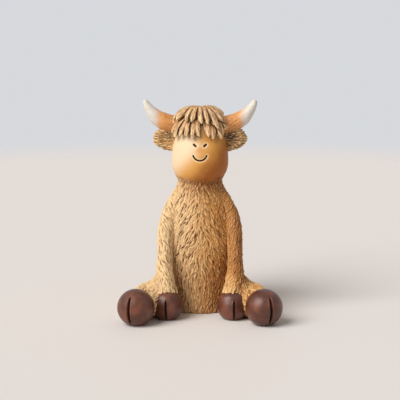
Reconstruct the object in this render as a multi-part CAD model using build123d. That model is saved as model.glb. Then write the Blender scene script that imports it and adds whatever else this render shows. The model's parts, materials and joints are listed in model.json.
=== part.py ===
from build123d import *

import math
import os

# Sizes are in millimetres and angles in degrees. The cow faces -Y and its left side is +X.
# The origin is on the floor under the middle of the torso. Azimuths count from straight ahead
# towards the cow's left; shares are parts of the length of a centre line.

# Fit: space left for glue round every peg and seat
GLUE_GAP = 0.1

# Torso: elliptical rings from the seat up to the neck; "back" sets a ring's centre towards +Y
SEAT_WIDTH = 34.6
SEAT_DEPTH = 40.0
SEAT_BACK = 0.6
SEAT_EDGE_RADIUS = 1.6
BELLY_HEIGHT = 15.0
BELLY_WIDTH = 35.0
BELLY_DEPTH = 39.6
BELLY_BACK = 0.4
CHEST_HEIGHT = 48.0
CHEST_WIDTH = 31.2
CHEST_DEPTH = 30.4
CHEST_BACK = -0.8
NECK_RISE = 13.0
NECK_WIDTH = 20.8
NECK_DEPTH = 20.8
NECK_BACK = -2.8
NECK_STUMP = 5.0
NECK_PEG_RADIUS = 4.0
NECK_PEG_SINK = 22.7
NECK_PEG_REACH = 0.3

# Head: an egg turned about its own axis, measured from the middle of the cheeks
HEAD_RISE = 9.7
HEAD_BACK = -4.0
HEAD_TILT = 7.0
CHEEK_RADIUS = 13.3
BROW_RISE = 11.0
BROW_RADIUS = 10.8
CROWN_RISE = 22.4
SPLINE_STEP = 1e-9

# Face, cut into the front of the head
MOUTH_RISE = 3.7
MOUTH_RADIUS = 3.3
MOUTH_SWEEP = 146.0
MOUTH_WIDTH = 0.8
MOUTH_DEPTH = 0.85
NOSTRIL_RISE = 7.5
NOSTRIL_AZIMUTH = 10.2
NOSTRIL_LENGTH = 2.0
NOSTRIL_WIDTH = 0.9
NOSTRIL_DEPTH = 0.7
NOSTRIL_SLANT = 42.0

# Horns
HORN_AZIMUTH = 88.0
HORN_SEAT_RISE = 16.8
HORN_REACH = 17.1
HORN_RISE = 12.0
HORN_LIFT_ANGLE = 8.0
HORN_ROOT_RADIUS = 4.2
HORN_MIDDLE_SHARE = 0.58
HORN_MIDDLE_RADIUS = 3.3
HORN_TIP_RADIUS = 1.3
HORN_TIP_ROUND = 1.1
HORN_PEG_RADIUS = 1.6
HORN_PEG_DEPTH = 5.0

# Ears
EAR_AZIMUTH = 88.0
EAR_RISE = 10.4
EAR_ROOT = 2.5
EAR_REACH = 11.2
EAR_HEIGHT = 12.0
EAR_THICKNESS = 5.6
EAR_RIM = 1.4
EAR_CUP_DEPTH = 2.6
EAR_SLICES = [0, 0.35, 0.65, 0.87, 0.985]
EAR_PEG_RADIUS = 1.0
EAR_PEG_DEPTH = 4.0
EAR_PEG_BACK = 1.3

# Hair: rows of tapering locks, each lock laid from its root over the head to its tip
LOCK_TAPER = [(0, 0.5, 0.6), (0.3, 0.95, 1.0), (0.65, 0.9, 0.95), (0.9, 0.5, 0.6), (1, 0.14, 0.2)]
LOCK_STEP = 0.03
LOCK_GATHER = 0.9
LOWER_LOCKS = 11
LOWER_LOCK_EDGE_AZIMUTH = 76.0
LOWER_LOCK_ROOT_RISE = 19.6
LOWER_LOCK_TIP_RISE = 10.4
LOWER_LOCK_SIDE_RISE = 3.0
LOWER_LOCK_WIDTH = 4.6
LOWER_LOCK_THICKNESS = 4.0
LOWER_LOCK_LIFT = 2.2
UPPER_LOCKS = 9
UPPER_LOCK_EDGE_AZIMUTH = 76.0
UPPER_LOCK_ROOT_RISE = 21.7
UPPER_LOCK_TIP_RISE = 15.4
UPPER_LOCK_WIDTH = 4.6
UPPER_LOCK_THICKNESS = 5.2
UPPER_LOCK_LIFT = 2.7
CROWN_LOCKS = 8
CROWN_LOCK_EDGE_AZIMUTH = 70.0
CROWN_LOCK_ROOT_RISE = 21.7
CROWN_LOCK_TIP_RISE = 13.0
CROWN_LOCK_WIDTH = 4.8
CROWN_LOCK_THICKNESS = 4.2
CROWN_LOCK_LIFT = 1.9
CROWN_CAP_RADIUS = 7.6
CROWN_CAP_THICKNESS = 3.6

# Hooves: balls flattened on the sole, with a cleft in front
SOLE_FLAT = 0.6
FOREHOOF_RADIUS = 6.8
FOREHOOF_APART = 30.2
FOREHOOF_FORWARD = 27.0
FOREHOOF_TURN = 6.0
HINDHOOF_RADIUS = 8.6
HINDHOOF_APART = 58.6
HINDHOOF_FORWARD = 37.8
HINDHOOF_TURN = 22.0
CLEFT_WIDTH = 1.3
CLEFT_DEPTH = 1.4
CLEFT_SWEEP_RADIUS = 13.0
HOOF_PEG_RADIUS = 2.0
HOOF_PEG_DEPTH = 5.0
HOOF_PEG_AIM_SHARE = 0.75

# Forelegs
SHOULDER_RISE = 9.0
SHOULDER_AZIMUTH = 62.0
SHOULDER_SINK = 3.6
ELBOW_DROP = 14.0
ELBOW_AZIMUTH = 48.5
ELBOW_SINK = 0.8
FORELEG_TOP_RADIUS = 3.8
FORELEG_RADIUS = 3.9
FORELEG_CUFF_RADIUS = 5.3
FORELEG_ELBOW_SHARE = 0.5
FORELEG_PEG_SHARE = 0.42
FORELEG_PEG_RADIUS = 1.8
FORELEG_PEG_REACH = 9.0

# Hind legs
HIP_HEIGHT = 11.4
HIP_AZIMUTH = 94.0
HIP_SINK = 4.5
HINDLEG_ROOT_WIDTH = 8.0
HINDLEG_ROOT_HEIGHT = 11.0
HINDLEG_HIP_SHARE = 0.2
HINDLEG_HIP_WIDTH = 12.4
HINDLEG_HIP_HEIGHT = 17.6
HINDLEG_CUFF_SHARE = 0.85
HINDLEG_CUFF_WIDTH = 12.0
HINDLEG_CUFF_HEIGHT = 13.4
HINDLEG_PEG_SHARE = 0.3
HINDLEG_PEG_RADIUS = 3.0
HINDLEG_PEG_REACH = 12.0

# Tail, lying on the rump and curling to the cow's left
TAIL_ROOT_HEIGHT = 27.0
TAIL_ROOT_AZIMUTH = 180.0
TAIL_ROOT_SINK = 2.4
TAIL_BEND_HEIGHT = 12.0
TAIL_BEND_AZIMUTH = 172.0
TAIL_END_HEIGHT = 5.4
TAIL_END_AZIMUTH = 148.0
TAIL_RADIUS = 1.9
TAIL_SLICES = 5
TAIL_SINK = 0.8
TAIL_PEG_SHARE = 0.4
TAIL_PEG_RADIUS = 1.0
TAIL_PEG_REACH = 5.0
TUFT_ROOT_SHARE = 0.84
TUFT_TIP_HEIGHT = 4.2
TUFT_TIP_AZIMUTH = 118.0
TUFT_FULL_SHARE = 0.5
TUFT_RADIUS = 3.3
TUFT_TIP_RADIUS = 0.9


def ahead(azimuth):
    """Level direction at an azimuth."""
    turn = math.radians(azimuth)
    return Vector(math.sin(turn), -math.cos(turn), 0)


def limb(path, slices, across):
    """Solid lofted along a path through slices of (share, half width, half height)."""
    sections = []
    for share, half_width, half_height in slices:
        plane = Plane(path @ share, x_dir=across, z_dir=path % share)
        sections.append(plane * Ellipse(half_width, half_height))
    return loft(sections)


def peg(start, direction, radius, length, grow=0.0):
    """Round peg from a start point; grown, it is the socket that takes the peg."""
    upright = (Align.CENTER, Align.CENTER, Align.MIN)
    return Plane(start, z_dir=direction) * Cylinder(radius + grow, length + grow, align=upright)


def level_peg(path, share, radius, reach, grow=0.0):
    """Peg from the middle of a limb level towards the torso's axis."""
    start = path @ share
    return peg(start, Vector(-start.X, -start.Y, 0).normalized(), radius, reach, grow)


def both_sides(piece):
    """A piece of the cow's left side and its mirror image."""
    return [piece, mirror(piece, Plane.YZ)]


NECK_HEIGHT = CHEST_HEIGHT + NECK_RISE
HEAD_HEIGHT = NECK_HEIGHT + HEAD_RISE


def torso_form(grow=0.0):
    """Torso blank without its joints, swollen by `grow`."""
    rings = [
        (0, SEAT_BACK, SEAT_WIDTH, SEAT_DEPTH),
        (BELLY_HEIGHT, BELLY_BACK, BELLY_WIDTH, BELLY_DEPTH),
        (CHEST_HEIGHT, CHEST_BACK, CHEST_WIDTH, CHEST_DEPTH),
        (NECK_HEIGHT, NECK_BACK, NECK_WIDTH, NECK_DEPTH),
        (NECK_HEIGHT + NECK_STUMP, NECK_BACK, NECK_WIDTH, NECK_DEPTH),
    ]
    return loft([Pos(0, y, z) * Ellipse(w / 2 + grow, d / 2 + grow) for z, y, w, d in rings])


TORSO_BLANK = torso_form()
TORSO_SEAT = torso_form(GLUE_GAP)


def torso_point(azimuth, height, out):
    """Point at an azimuth and height on the torso's surface, moved outwards by `out`."""
    outward = ahead(azimuth)
    hits = TORSO_BLANK.shell().find_intersection_points(Axis((0, 0, height), outward))
    surface = max((point for point, _ in hits), key=outward.dot)
    return surface + outward * out


def neck_peg(grow=0.0):
    """Upright peg of the torso that holds the head."""
    root = (0, NECK_BACK, HEAD_HEIGHT - NECK_PEG_SINK)
    return peg(root, (0, 0, 1), NECK_PEG_RADIUS, NECK_PEG_SINK + NECK_PEG_REACH, grow)


# Head, horns, ears and hair are made about the head's own axis and then put in place
HEAD_PLACE = Pos(0, HEAD_BACK, HEAD_HEIGHT) * Rot(-HEAD_TILT, 0, 0)


def head_side(grow=0.0):
    """Half outline of the head from the cheek up to the crown."""
    cheek = (CHEEK_RADIUS + grow, 0)
    brow = (BROW_RADIUS + grow, BROW_RISE)
    crown = (0, CROWN_RISE + grow)
    return Spline(cheek, brow, crown, tangents=[(0, 1), (-1, 0)])


def head_form(grow=0.0):
    """Head blank: the half outline turned about the head's axis."""
    chin = CenterArc((0, 0), CHEEK_RADIUS + grow, -90, 90)
    side = head_side(grow)
    axis = Line(side @ 1, chin @ 0)
    return revolve(Plane.XZ * make_face(chin + side + axis), Axis.Z)


HEAD_SIDE = head_side()
HEAD_SEAT = head_form(GLUE_GAP)


def skull_plane(azimuth, rise):
    """Plane touching the head at an azimuth and a rise above the cheeks: z out, y up the head."""
    low, high = 0.0, 1.0
    while high - low > SPLINE_STEP:
        share = (low + high) / 2
        if (HEAD_SIDE @ share).Y < rise:
            low = share
        else:
            high = share
    spot, slope = HEAD_SIDE @ low, HEAD_SIDE % low
    outward = ahead(azimuth)
    origin = outward * spot.X + Vector(0, 0, spot.Y)
    normal = outward * slope.Y - Vector(0, 0, slope.X)
    return Plane(origin, x_dir=Vector(0, 0, 1).cross(outward), z_dir=normal)


def mouth():
    """Cutter for the smile: a slot bent to a bow."""
    bow = CenterArc((0, 0), MOUTH_RADIUS, -90 - MOUTH_SWEEP / 2, MOUTH_SWEEP)
    return skull_plane(0, MOUTH_RISE) * extrude(SlotArc(bow, MOUTH_WIDTH), MOUTH_DEPTH, both=True)


def nostril():
    """Cutter for the left nostril, a slanting slot."""
    slot = Rot(0, 0, NOSTRIL_SLANT) * SlotOverall(NOSTRIL_LENGTH, NOSTRIL_WIDTH)
    return skull_plane(NOSTRIL_AZIMUTH, NOSTRIL_RISE) * extrude(slot, NOSTRIL_DEPTH, both=True)


def horn_seat():
    """Where the left horn meets the skull, and the direction in which it leaves."""
    heading = Vector(1, 0, 0).rotate(Axis.Y, -HORN_LIFT_ANGLE)
    return skull_plane(HORN_AZIMUTH, HORN_SEAT_RISE).origin, heading


def horn_form(grow=0.0):
    """Left horn blank: a cone bowed out and up from inside the skull."""
    seat, heading = horn_seat()
    tip = seat + Vector(HORN_REACH, 0, HORN_RISE)
    path = TangentArc(seat - heading * HORN_ROOT_RADIUS, tip, tangent=heading)
    radii = [(0, HORN_ROOT_RADIUS), (HORN_MIDDLE_SHARE, HORN_MIDDLE_RADIUS), (1, HORN_TIP_RADIUS)]
    return limb(path, [(share, r + grow, r + grow) for share, r in radii], (0, 1, 0))


def horn_peg(grow=0.0):
    """Peg from inside the left horn's root back into the head."""
    seat, heading = horn_seat()
    start = seat + heading * HORN_PEG_DEPTH
    return peg(start, heading * -1, HORN_PEG_RADIUS, 2 * HORN_PEG_DEPTH, grow)


def horn():
    """Left horn with a blunt tip, seated on the skull."""
    cone = horn_form()
    tip_edge = cone.faces().sort_by(Axis.Z)[-1].edges()
    return fillet(tip_edge, HORN_TIP_ROUND) - HEAD_SEAT + horn_peg()


def flat_oval(root, tip, half_thickness, half_height):
    """Half of a flat egg that is fullest at its root and rounds off towards its tip."""
    slices = []
    for share in EAR_SLICES:
        rounding = math.sqrt(1 - share ** 2)
        slices.append((share, half_thickness * rounding, half_height * rounding))
    return limb(Line(root, tip), slices, (0, 1, 0))


def ear_form(grow=0.0):
    """Left ear blank, from inside the head outwards."""
    seat = skull_plane(EAR_AZIMUTH, EAR_RISE)
    root = seat.origin - Vector(EAR_ROOT, 0, 0)
    tip = seat.origin + Vector(EAR_REACH + grow, 0, 0)
    return flat_oval(root, tip, EAR_THICKNESS / 2 + grow, EAR_HEIGHT / 2 + grow)


def ear_peg(grow=0.0):
    """Peg from inside the left ear into the head."""
    seat = skull_plane(EAR_AZIMUTH, EAR_RISE)
    start = seat.origin + Vector(EAR_PEG_DEPTH, EAR_PEG_BACK, 0)
    return peg(start, (-1, 0, 0), EAR_PEG_RADIUS, 2 * EAR_PEG_DEPTH, grow)


def ear():
    """Left ear with a cup scooped out of its front, seated on the head and under the horn."""
    seat = skull_plane(EAR_AZIMUTH, EAR_RISE)
    front = seat.origin - Vector(0, EAR_THICKNESS / 2, 0)
    tip = front + Vector(EAR_REACH - EAR_RIM, 0, 0)
    scoop = flat_oval(front - Vector(EAR_ROOT, 0, 0), tip, EAR_CUP_DEPTH, EAR_HEIGHT / 2 - EAR_RIM)
    return ear_form() - scoop - HEAD_SEAT - horn_form(GLUE_GAP) + ear_peg()


def lock(root, tip, width, thickness, lift):
    """Hair lock laid over the head from a root to a tip, each an (azimuth, rise)."""
    def over_head(share):
        azimuth = root[0] + (tip[0] - root[0]) * share
        rise = root[1] + (tip[1] - root[1]) * share
        skull = skull_plane(azimuth, rise)
        return skull.origin + skull.z_dir * lift, skull.z_dir

    sections = []
    for share, wide, deep in LOCK_TAPER:
        centre, outward = over_head(share)
        heading = over_head(share + LOCK_STEP)[0] - over_head(share - LOCK_STEP)[0]
        plane = Plane(centre, x_dir=heading.cross(outward), z_dir=heading)
        sections.append(plane * Ellipse(width * wide / 2, thickness * deep / 2))
    return loft(sections)


def places(count):
    """Even places across a row of locks, from -1 to 1."""
    return [2 * place / (count - 1) - 1 for place in range(count)]


def lower_row(grow=0.0):
    """Long locks that hang over the face, shorter towards the ears."""
    locks = []
    for place in places(LOWER_LOCKS):
        azimuth = place * LOWER_LOCK_EDGE_AZIMUTH
        root = (azimuth * LOCK_GATHER, LOWER_LOCK_ROOT_RISE)
        tip = (azimuth, LOWER_LOCK_TIP_RISE + LOWER_LOCK_SIDE_RISE * place ** 2)
        width, thickness = LOWER_LOCK_WIDTH + 2 * grow, LOWER_LOCK_THICKNESS + 2 * grow
        locks.append(lock(root, tip, width, thickness, LOWER_LOCK_LIFT))
    return Part() + locks


def crown_row(grow=0.0):
    """Locks that fall down the back of the head from a cap on the crown."""
    locks = []
    for place in places(CROWN_LOCKS):
        azimuth = 180 + place * CROWN_LOCK_EDGE_AZIMUTH
        root = (azimuth, CROWN_LOCK_ROOT_RISE)
        tip = (azimuth, CROWN_LOCK_TIP_RISE)
        width, thickness = CROWN_LOCK_WIDTH + 2 * grow, CROWN_LOCK_THICKNESS + 2 * grow
        locks.append(lock(root, tip, width, thickness, CROWN_LOCK_LIFT))
    reach = Pos(0, 0, CROWN_RISE) * Cylinder(CROWN_CAP_RADIUS + grow, CROWN_RISE)
    return (head_form(CROWN_CAP_THICKNESS + grow) & reach) + locks


def upper_row():
    """Short locks that lie on the roots of the lower row."""
    locks = []
    for place in places(UPPER_LOCKS):
        azimuth = place * UPPER_LOCK_EDGE_AZIMUTH
        root = (azimuth * LOCK_GATHER, UPPER_LOCK_ROOT_RISE)
        tip = (azimuth, UPPER_LOCK_TIP_RISE)
        locks.append(lock(root, tip, UPPER_LOCK_WIDTH, UPPER_LOCK_THICKNESS, UPPER_LOCK_LIFT))
    return Part() + locks


FOREHOOF_CENTRE = Vector(FOREHOOF_APART / 2, -FOREHOOF_FORWARD, FOREHOOF_RADIUS - SOLE_FLAT)
HINDHOOF_CENTRE = Vector(HINDHOOF_APART / 2, -HINDHOOF_FORWARD, HINDHOOF_RADIUS - SOLE_FLAT)
FORELEG_PATH = Spline(
    torso_point(SHOULDER_AZIMUTH, CHEST_HEIGHT + SHOULDER_RISE, -SHOULDER_SINK),
    torso_point(ELBOW_AZIMUTH, CHEST_HEIGHT - ELBOW_DROP, FORELEG_RADIUS - ELBOW_SINK),
    FOREHOOF_CENTRE + Vector(0, 0, FOREHOOF_RADIUS / 2),
)
HINDLEG_PATH = Line(torso_point(HIP_AZIMUTH, HIP_HEIGHT, -HIP_SINK), HINDHOOF_CENTRE)


def hoof_form(centre, radius, grow=0.0):
    """Ball with a flat sole on the floor."""
    return split(Pos(centre) * Sphere(radius + grow), Plane.XY, Keep.TOP)


def cleft(centre, radius, turn):
    """Cutter for a cleft: a V-edged ring that runs out of the ball at both ends."""
    floor, rim = radius - CLEFT_DEPTH, radius + CLEFT_DEPTH
    wedge = make_face(Polyline((0, -floor), (CLEFT_WIDTH, -rim), (-CLEFT_WIDTH, -rim), close=True))
    ring = revolve(wedge, Axis((0, CLEFT_SWEEP_RADIUS - floor, 0), (1, 0, 0)))
    return Pos(centre) * Rot(0, 0, turn) * ring


def hoof_peg(centre, radius, leg_path, grow=0.0):
    """Peg from the middle of a hoof up the middle of its leg."""
    up_leg = (leg_path @ HOOF_PEG_AIM_SHARE - centre).normalized()
    return peg(centre, up_leg, HOOF_PEG_RADIUS, radius + HOOF_PEG_DEPTH, grow)


def forehoof_peg(grow=0.0):
    """Peg that holds the left forehoof in its leg."""
    return hoof_peg(FOREHOOF_CENTRE, FOREHOOF_RADIUS, FORELEG_PATH, grow)


def hindhoof_peg(grow=0.0):
    """Peg that holds the left hind hoof in its leg."""
    return hoof_peg(HINDHOOF_CENTRE, HINDHOOF_RADIUS, HINDLEG_PATH, grow)


def foreleg_peg(grow=0.0):
    """Peg that holds the left foreleg in the torso."""
    return level_peg(FORELEG_PATH, FORELEG_PEG_SHARE, FORELEG_PEG_RADIUS, FORELEG_PEG_REACH, grow)


def hindleg_peg(grow=0.0):
    """Peg that holds the left hind leg in the torso."""
    return level_peg(HINDLEG_PATH, HINDLEG_PEG_SHARE, HINDLEG_PEG_RADIUS, HINDLEG_PEG_REACH, grow)


def foreleg_form(grow=0.0):
    """Left foreleg blank, from inside the shoulder to inside the hoof."""
    radii = [
        (0, FORELEG_TOP_RADIUS),
        (FORELEG_ELBOW_SHARE, FORELEG_RADIUS),
        (1, FORELEG_CUFF_RADIUS),
    ]
    return limb(FORELEG_PATH, [(share, r + grow, r + grow) for share, r in radii], (1, 0, 0))


def hindleg_form():
    """Left hind leg blank, from inside the hip to inside the hoof, never below the floor."""
    slices = [
        (0, HINDLEG_ROOT_WIDTH / 2, HINDLEG_ROOT_HEIGHT / 2),
        (HINDLEG_HIP_SHARE, HINDLEG_HIP_WIDTH / 2, HINDLEG_HIP_HEIGHT / 2),
        (HINDLEG_CUFF_SHARE, HINDLEG_CUFF_WIDTH / 2, HINDLEG_CUFF_HEIGHT / 2),
    ]
    return split(limb(HINDLEG_PATH, slices, (1, 0, 0)), Plane.XY, Keep.TOP)


FOREHOOF_SEAT = hoof_form(FOREHOOF_CENTRE, FOREHOOF_RADIUS, GLUE_GAP)
HINDHOOF_SEAT = hoof_form(HINDHOOF_CENTRE, HINDHOOF_RADIUS, GLUE_GAP)


def foreleg():
    """Left foreleg, fitted to the torso and the hoof."""
    fitted = foreleg_form() - TORSO_SEAT - FOREHOOF_SEAT - forehoof_peg(GLUE_GAP)
    return fitted + foreleg_peg()


def hindleg():
    """Left hind leg, fitted to the torso and the hoof and round the foot in front of it."""
    fitted = hindleg_form() - TORSO_SEAT - HINDHOOF_SEAT - hindhoof_peg(GLUE_GAP)
    return fitted - foreleg_form(GLUE_GAP) - FOREHOOF_SEAT + hindleg_peg()


def forehoof():
    """Left forehoof with its peg."""
    ball = hoof_form(FOREHOOF_CENTRE, FOREHOOF_RADIUS)
    return ball - cleft(FOREHOOF_CENTRE, FOREHOOF_RADIUS, FOREHOOF_TURN) + forehoof_peg()


def hindhoof():
    """Left hind hoof with its peg."""
    ball = hoof_form(HINDHOOF_CENTRE, HINDHOOF_RADIUS)
    return ball - cleft(HINDHOOF_CENTRE, HINDHOOF_RADIUS, HINDHOOF_TURN) + hindhoof_peg()


TAIL_OUT = TAIL_RADIUS - TAIL_SINK
TAIL_PATH = Spline(
    torso_point(TAIL_ROOT_AZIMUTH, TAIL_ROOT_HEIGHT, -TAIL_ROOT_SINK),
    torso_point(TAIL_BEND_AZIMUTH, TAIL_BEND_HEIGHT, TAIL_OUT),
    torso_point(TAIL_END_AZIMUTH, TAIL_END_HEIGHT, TAIL_OUT),
)


def tail_form(grow=0.0):
    """Tail blank: a round cord of even thickness."""
    radius = TAIL_RADIUS + grow
    shares = [number / (TAIL_SLICES - 1) for number in range(TAIL_SLICES)]
    return limb(TAIL_PATH, [(share, radius, radius) for share in shares], (1, 0, 0))


def tail_peg(grow=0.0):
    """Peg that holds the tail's root in the rump."""
    return level_peg(TAIL_PATH, TAIL_PEG_SHARE, TAIL_PEG_RADIUS, TAIL_PEG_REACH, grow)


def tail_tuft():
    """Tuft swelling from the tail's end and drawn out to a point along the rump."""
    path = Line(TAIL_PATH @ TUFT_ROOT_SHARE, torso_point(TUFT_TIP_AZIMUTH, TUFT_TIP_HEIGHT, TAIL_OUT))
    radii = [(0, TAIL_RADIUS), (TUFT_FULL_SHARE, TUFT_RADIUS), (1, TUFT_TIP_RADIUS)]
    drop = limb(path, [(share, r, r) for share, r in radii], (0, 0, 1))
    return drop - TORSO_SEAT - tail_form(GLUE_GAP)


def torso():
    """Torso cupped for the head, with its neck peg and a socket for every limb."""
    body = TORSO_BLANK - HEAD_PLACE * HEAD_SEAT + neck_peg()
    body = body - both_sides(foreleg_peg(GLUE_GAP)) - both_sides(hindleg_peg(GLUE_GAP))
    body = body - tail_peg(GLUE_GAP)
    return fillet(body.edges().group_by(Axis.Z)[0], SEAT_EDGE_RADIUS)


def head():
    """Head with its face cut in and a socket for the neck and for each horn and ear."""
    skull = head_form() - mouth() - both_sides(nostril())
    skull = skull - both_sides(horn_peg(GLUE_GAP)) - both_sides(ear_peg(GLUE_GAP))
    return HEAD_PLACE * skull - neck_peg(GLUE_GAP)


def hair():
    """The three rows of locks, each fitted to the head, the horns, the ears and the rows before it."""
    lower = lower_row()
    crown = crown_row() - lower_row(GLUE_GAP)
    upper = upper_row() - lower_row(GLUE_GAP) - crown_row(GLUE_GAP)
    around = both_sides(horn_form(GLUE_GAP)) + both_sides(ear_form(GLUE_GAP))
    return [HEAD_PLACE * (row - HEAD_SEAT - around) for row in (lower, crown, upper)]


def pieces():
    """Every piece of the cow by node name."""
    named = {"torso": torso(), "head": head(), "tail": tail_form() - TORSO_SEAT + tail_peg()}
    named["tail_tuft"] = tail_tuft()
    named["fringe_lower"], named["fringe_crown"], named["fringe_upper"] = hair()
    paired = {
        "horn": HEAD_PLACE * horn(),
        "ear": HEAD_PLACE * ear(),
        "foreleg": foreleg(),
        "forehoof": forehoof(),
        "hindleg": hindleg(),
        "hindhoof": hindhoof(),
    }
    for name, piece in paired.items():
        named[f"{name}_left"], named[f"{name}_right"] = both_sides(piece)
    return named


os.makedirs("parts", exist_ok=True)
for node, solid in pieces().items():
    export_step(solid, f"parts/{node}.step")
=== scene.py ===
"""Dresses the seated cow figurine: carved fur, a smooth face, a chunky fringe and satin hooves."""

import json
import logging
import math
from contextlib import contextmanager
from dataclasses import dataclass, field
from enum import Enum
from typing import Callable, Dict, Iterator, List, Sequence, Tuple

import bpy
import numpy as np
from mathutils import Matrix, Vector, noise
from mathutils.bvhtree import BVHTree
from mathutils.kdtree import KDTree

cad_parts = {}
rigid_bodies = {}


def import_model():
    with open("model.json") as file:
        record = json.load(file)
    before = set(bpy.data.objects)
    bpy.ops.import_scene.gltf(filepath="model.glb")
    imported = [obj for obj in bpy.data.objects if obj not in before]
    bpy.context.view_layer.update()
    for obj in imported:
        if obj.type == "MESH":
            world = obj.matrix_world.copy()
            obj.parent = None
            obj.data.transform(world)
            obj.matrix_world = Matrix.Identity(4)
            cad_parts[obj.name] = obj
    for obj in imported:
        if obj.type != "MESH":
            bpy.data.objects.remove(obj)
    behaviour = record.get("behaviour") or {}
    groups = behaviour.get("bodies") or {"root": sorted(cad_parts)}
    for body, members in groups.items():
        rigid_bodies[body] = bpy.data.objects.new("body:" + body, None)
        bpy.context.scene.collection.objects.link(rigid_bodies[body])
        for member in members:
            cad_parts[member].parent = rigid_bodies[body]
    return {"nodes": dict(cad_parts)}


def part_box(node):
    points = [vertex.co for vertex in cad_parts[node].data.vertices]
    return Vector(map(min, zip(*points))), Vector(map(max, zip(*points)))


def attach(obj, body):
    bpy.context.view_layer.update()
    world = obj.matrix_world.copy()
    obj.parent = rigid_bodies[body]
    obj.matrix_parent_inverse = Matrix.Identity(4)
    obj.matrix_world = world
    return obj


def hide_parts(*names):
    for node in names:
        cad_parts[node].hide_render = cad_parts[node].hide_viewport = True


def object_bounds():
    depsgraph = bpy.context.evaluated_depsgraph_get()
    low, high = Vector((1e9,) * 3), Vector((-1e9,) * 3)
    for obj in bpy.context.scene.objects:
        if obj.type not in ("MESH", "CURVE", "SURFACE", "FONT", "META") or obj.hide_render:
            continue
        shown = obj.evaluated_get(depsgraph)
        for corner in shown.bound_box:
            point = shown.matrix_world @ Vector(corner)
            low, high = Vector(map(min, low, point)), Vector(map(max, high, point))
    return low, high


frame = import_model()
CAD_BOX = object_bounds()

MM = 0.001
WELD = 0.001 * MM
BODY = "root"
LOG = logging.getLogger("cow_figurine")

Colour = Tuple[int, int, int]
Span = Tuple[float, float]
Piece = bpy.types.Object


class Side(Enum):
    """The animal's own left and right, as a sign along X."""

    LEFT = 1
    RIGHT = -1

    @property
    def word(self) -> str:
        """Ending of a node's name on this side."""
        return self.name.lower()


class Pick(Enum):
    """What edit mode selects."""

    POINTS = "VERT"
    EDGES = "EDGE"
    FACES = "FACE"


def smooth_step(low: float, high: float, value: np.ndarray) -> np.ndarray:
    """Soft change from 0 at low to 1 at high.

    Args:
        low: value that gives 0.
        high: value that gives 1, and may be the smaller one.
        value: numbers to change.

    Returns:
        The softened shares.
    """
    share = np.clip((value - low) / (high - low), 0.0, 1.0)
    return share * share * (3.0 - 2.0 * share)


def unit(rows: np.ndarray) -> np.ndarray:
    """Rows of vectors at length one."""
    length = np.linalg.norm(rows, axis=-1, keepdims=True)
    return rows / np.maximum(length, 1e-12)


def linear(colour: Colour) -> Tuple[float, float, float, float]:
    """Shader colour of a screen colour from 0 to 255."""
    shares = [part / 255.0 for part in colour]
    bent = [s / 12.92 if s <= 0.04045 else ((s + 0.055) / 1.055) ** 2.4 for s in shares]
    return (*bent, 1.0)


def points_of(piece: Piece) -> np.ndarray:
    """Places of a mesh's points, in metres."""
    flat = np.empty(len(piece.data.vertices) * 3, np.float32)
    piece.data.vertices.foreach_get("co", flat)
    return flat.reshape(-1, 3).astype(float)


def move_points(piece: Piece, places: np.ndarray) -> None:
    """Puts a mesh's points at new places."""
    piece.data.vertices.foreach_set("co", places.astype(np.float32).ravel())
    piece.data.update()


def normals_of(piece: Piece) -> np.ndarray:
    """Outward directions at a mesh's points."""
    flat = np.empty(len(piece.data.vertices) * 3, np.float32)
    piece.data.vertices.foreach_get("normal", flat)
    return flat.reshape(-1, 3).astype(float)


def edges_of(piece: Piece) -> np.ndarray:
    """Pairs of points that an edge joins."""
    flat = np.empty(len(piece.data.edges) * 2, np.int32)
    piece.data.edges.foreach_get("vertices", flat)
    return flat.reshape(-1, 2)


def relaxed(values: np.ndarray, edges: np.ndarray, rounds: int) -> np.ndarray:
    """Values after each point takes the mean of itself and its neighbours several times.

    Args:
        values: one row or number per point.
        edges: pairs of neighbours.
        rounds: how many times.

    Returns:
        The evened values.
    """
    rows = values.reshape(len(values), -1).astype(float)
    first, second = edges[:, 0], edges[:, 1]
    count = np.bincount(first, minlength=len(rows)) + np.bincount(second, minlength=len(rows))
    share = 1.0 / (count + 1.0)
    for _ in range(rounds):
        fresh = np.empty_like(rows)
        for column in range(rows.shape[1]):
            line = rows[:, column]
            total = np.bincount(first, line[second], len(rows))
            total += np.bincount(second, line[first], len(rows))
            fresh[:, column] = (line + total) * share
        rows = fresh
    return rows.reshape(values.shape)


def keep_value(piece: Piece, name: str, values: np.ndarray) -> None:
    """Stores a number per point on a mesh, for its paint."""
    layer = piece.data.attributes.get(name)
    if layer is None:
        layer = piece.data.attributes.new(name, "FLOAT", "POINT")
    layer.data.foreach_set("value", values.astype(np.float32))


def point_value(piece: Piece, name: str) -> np.ndarray:
    """Numbers stored on a mesh's points."""
    values = np.empty(len(piece.data.vertices), np.float32)
    piece.data.attributes[name].data.foreach_get("value", values)
    return values.astype(float)


def alone(piece: Piece) -> None:
    """Makes a piece the only one selected, and the active one."""
    bpy.ops.object.select_all(action="DESELECT")
    piece.select_set(True)
    bpy.context.view_layer.objects.active = piece


@contextmanager
def editing(piece: Piece, pick: Pick = Pick.POINTS) -> Iterator[None]:
    """Edit mode on one piece.

    Args:
        piece: the piece to edit.
        pick: what is selected in it.
    """
    alone(piece)
    bpy.context.tool_settings.mesh_select_mode = [pick is kind for kind in Pick]
    bpy.ops.object.mode_set(mode="EDIT")
    yield
    bpy.ops.object.mode_set(mode="OBJECT")


def select_only(piece: Piece, pick: Pick, chosen: np.ndarray) -> None:
    """Selects some points or faces of a piece, and nothing else on it.

    Args:
        piece: the piece.
        pick: points or faces.
        chosen: true for each one selected.
    """
    mesh = piece.data
    for group in (mesh.vertices, mesh.edges, mesh.polygons):
        group.foreach_set("select", np.zeros(len(group), bool))
    group = mesh.vertices if pick is Pick.POINTS else mesh.polygons
    group.foreach_set("select", chosen.astype(bool))


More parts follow.
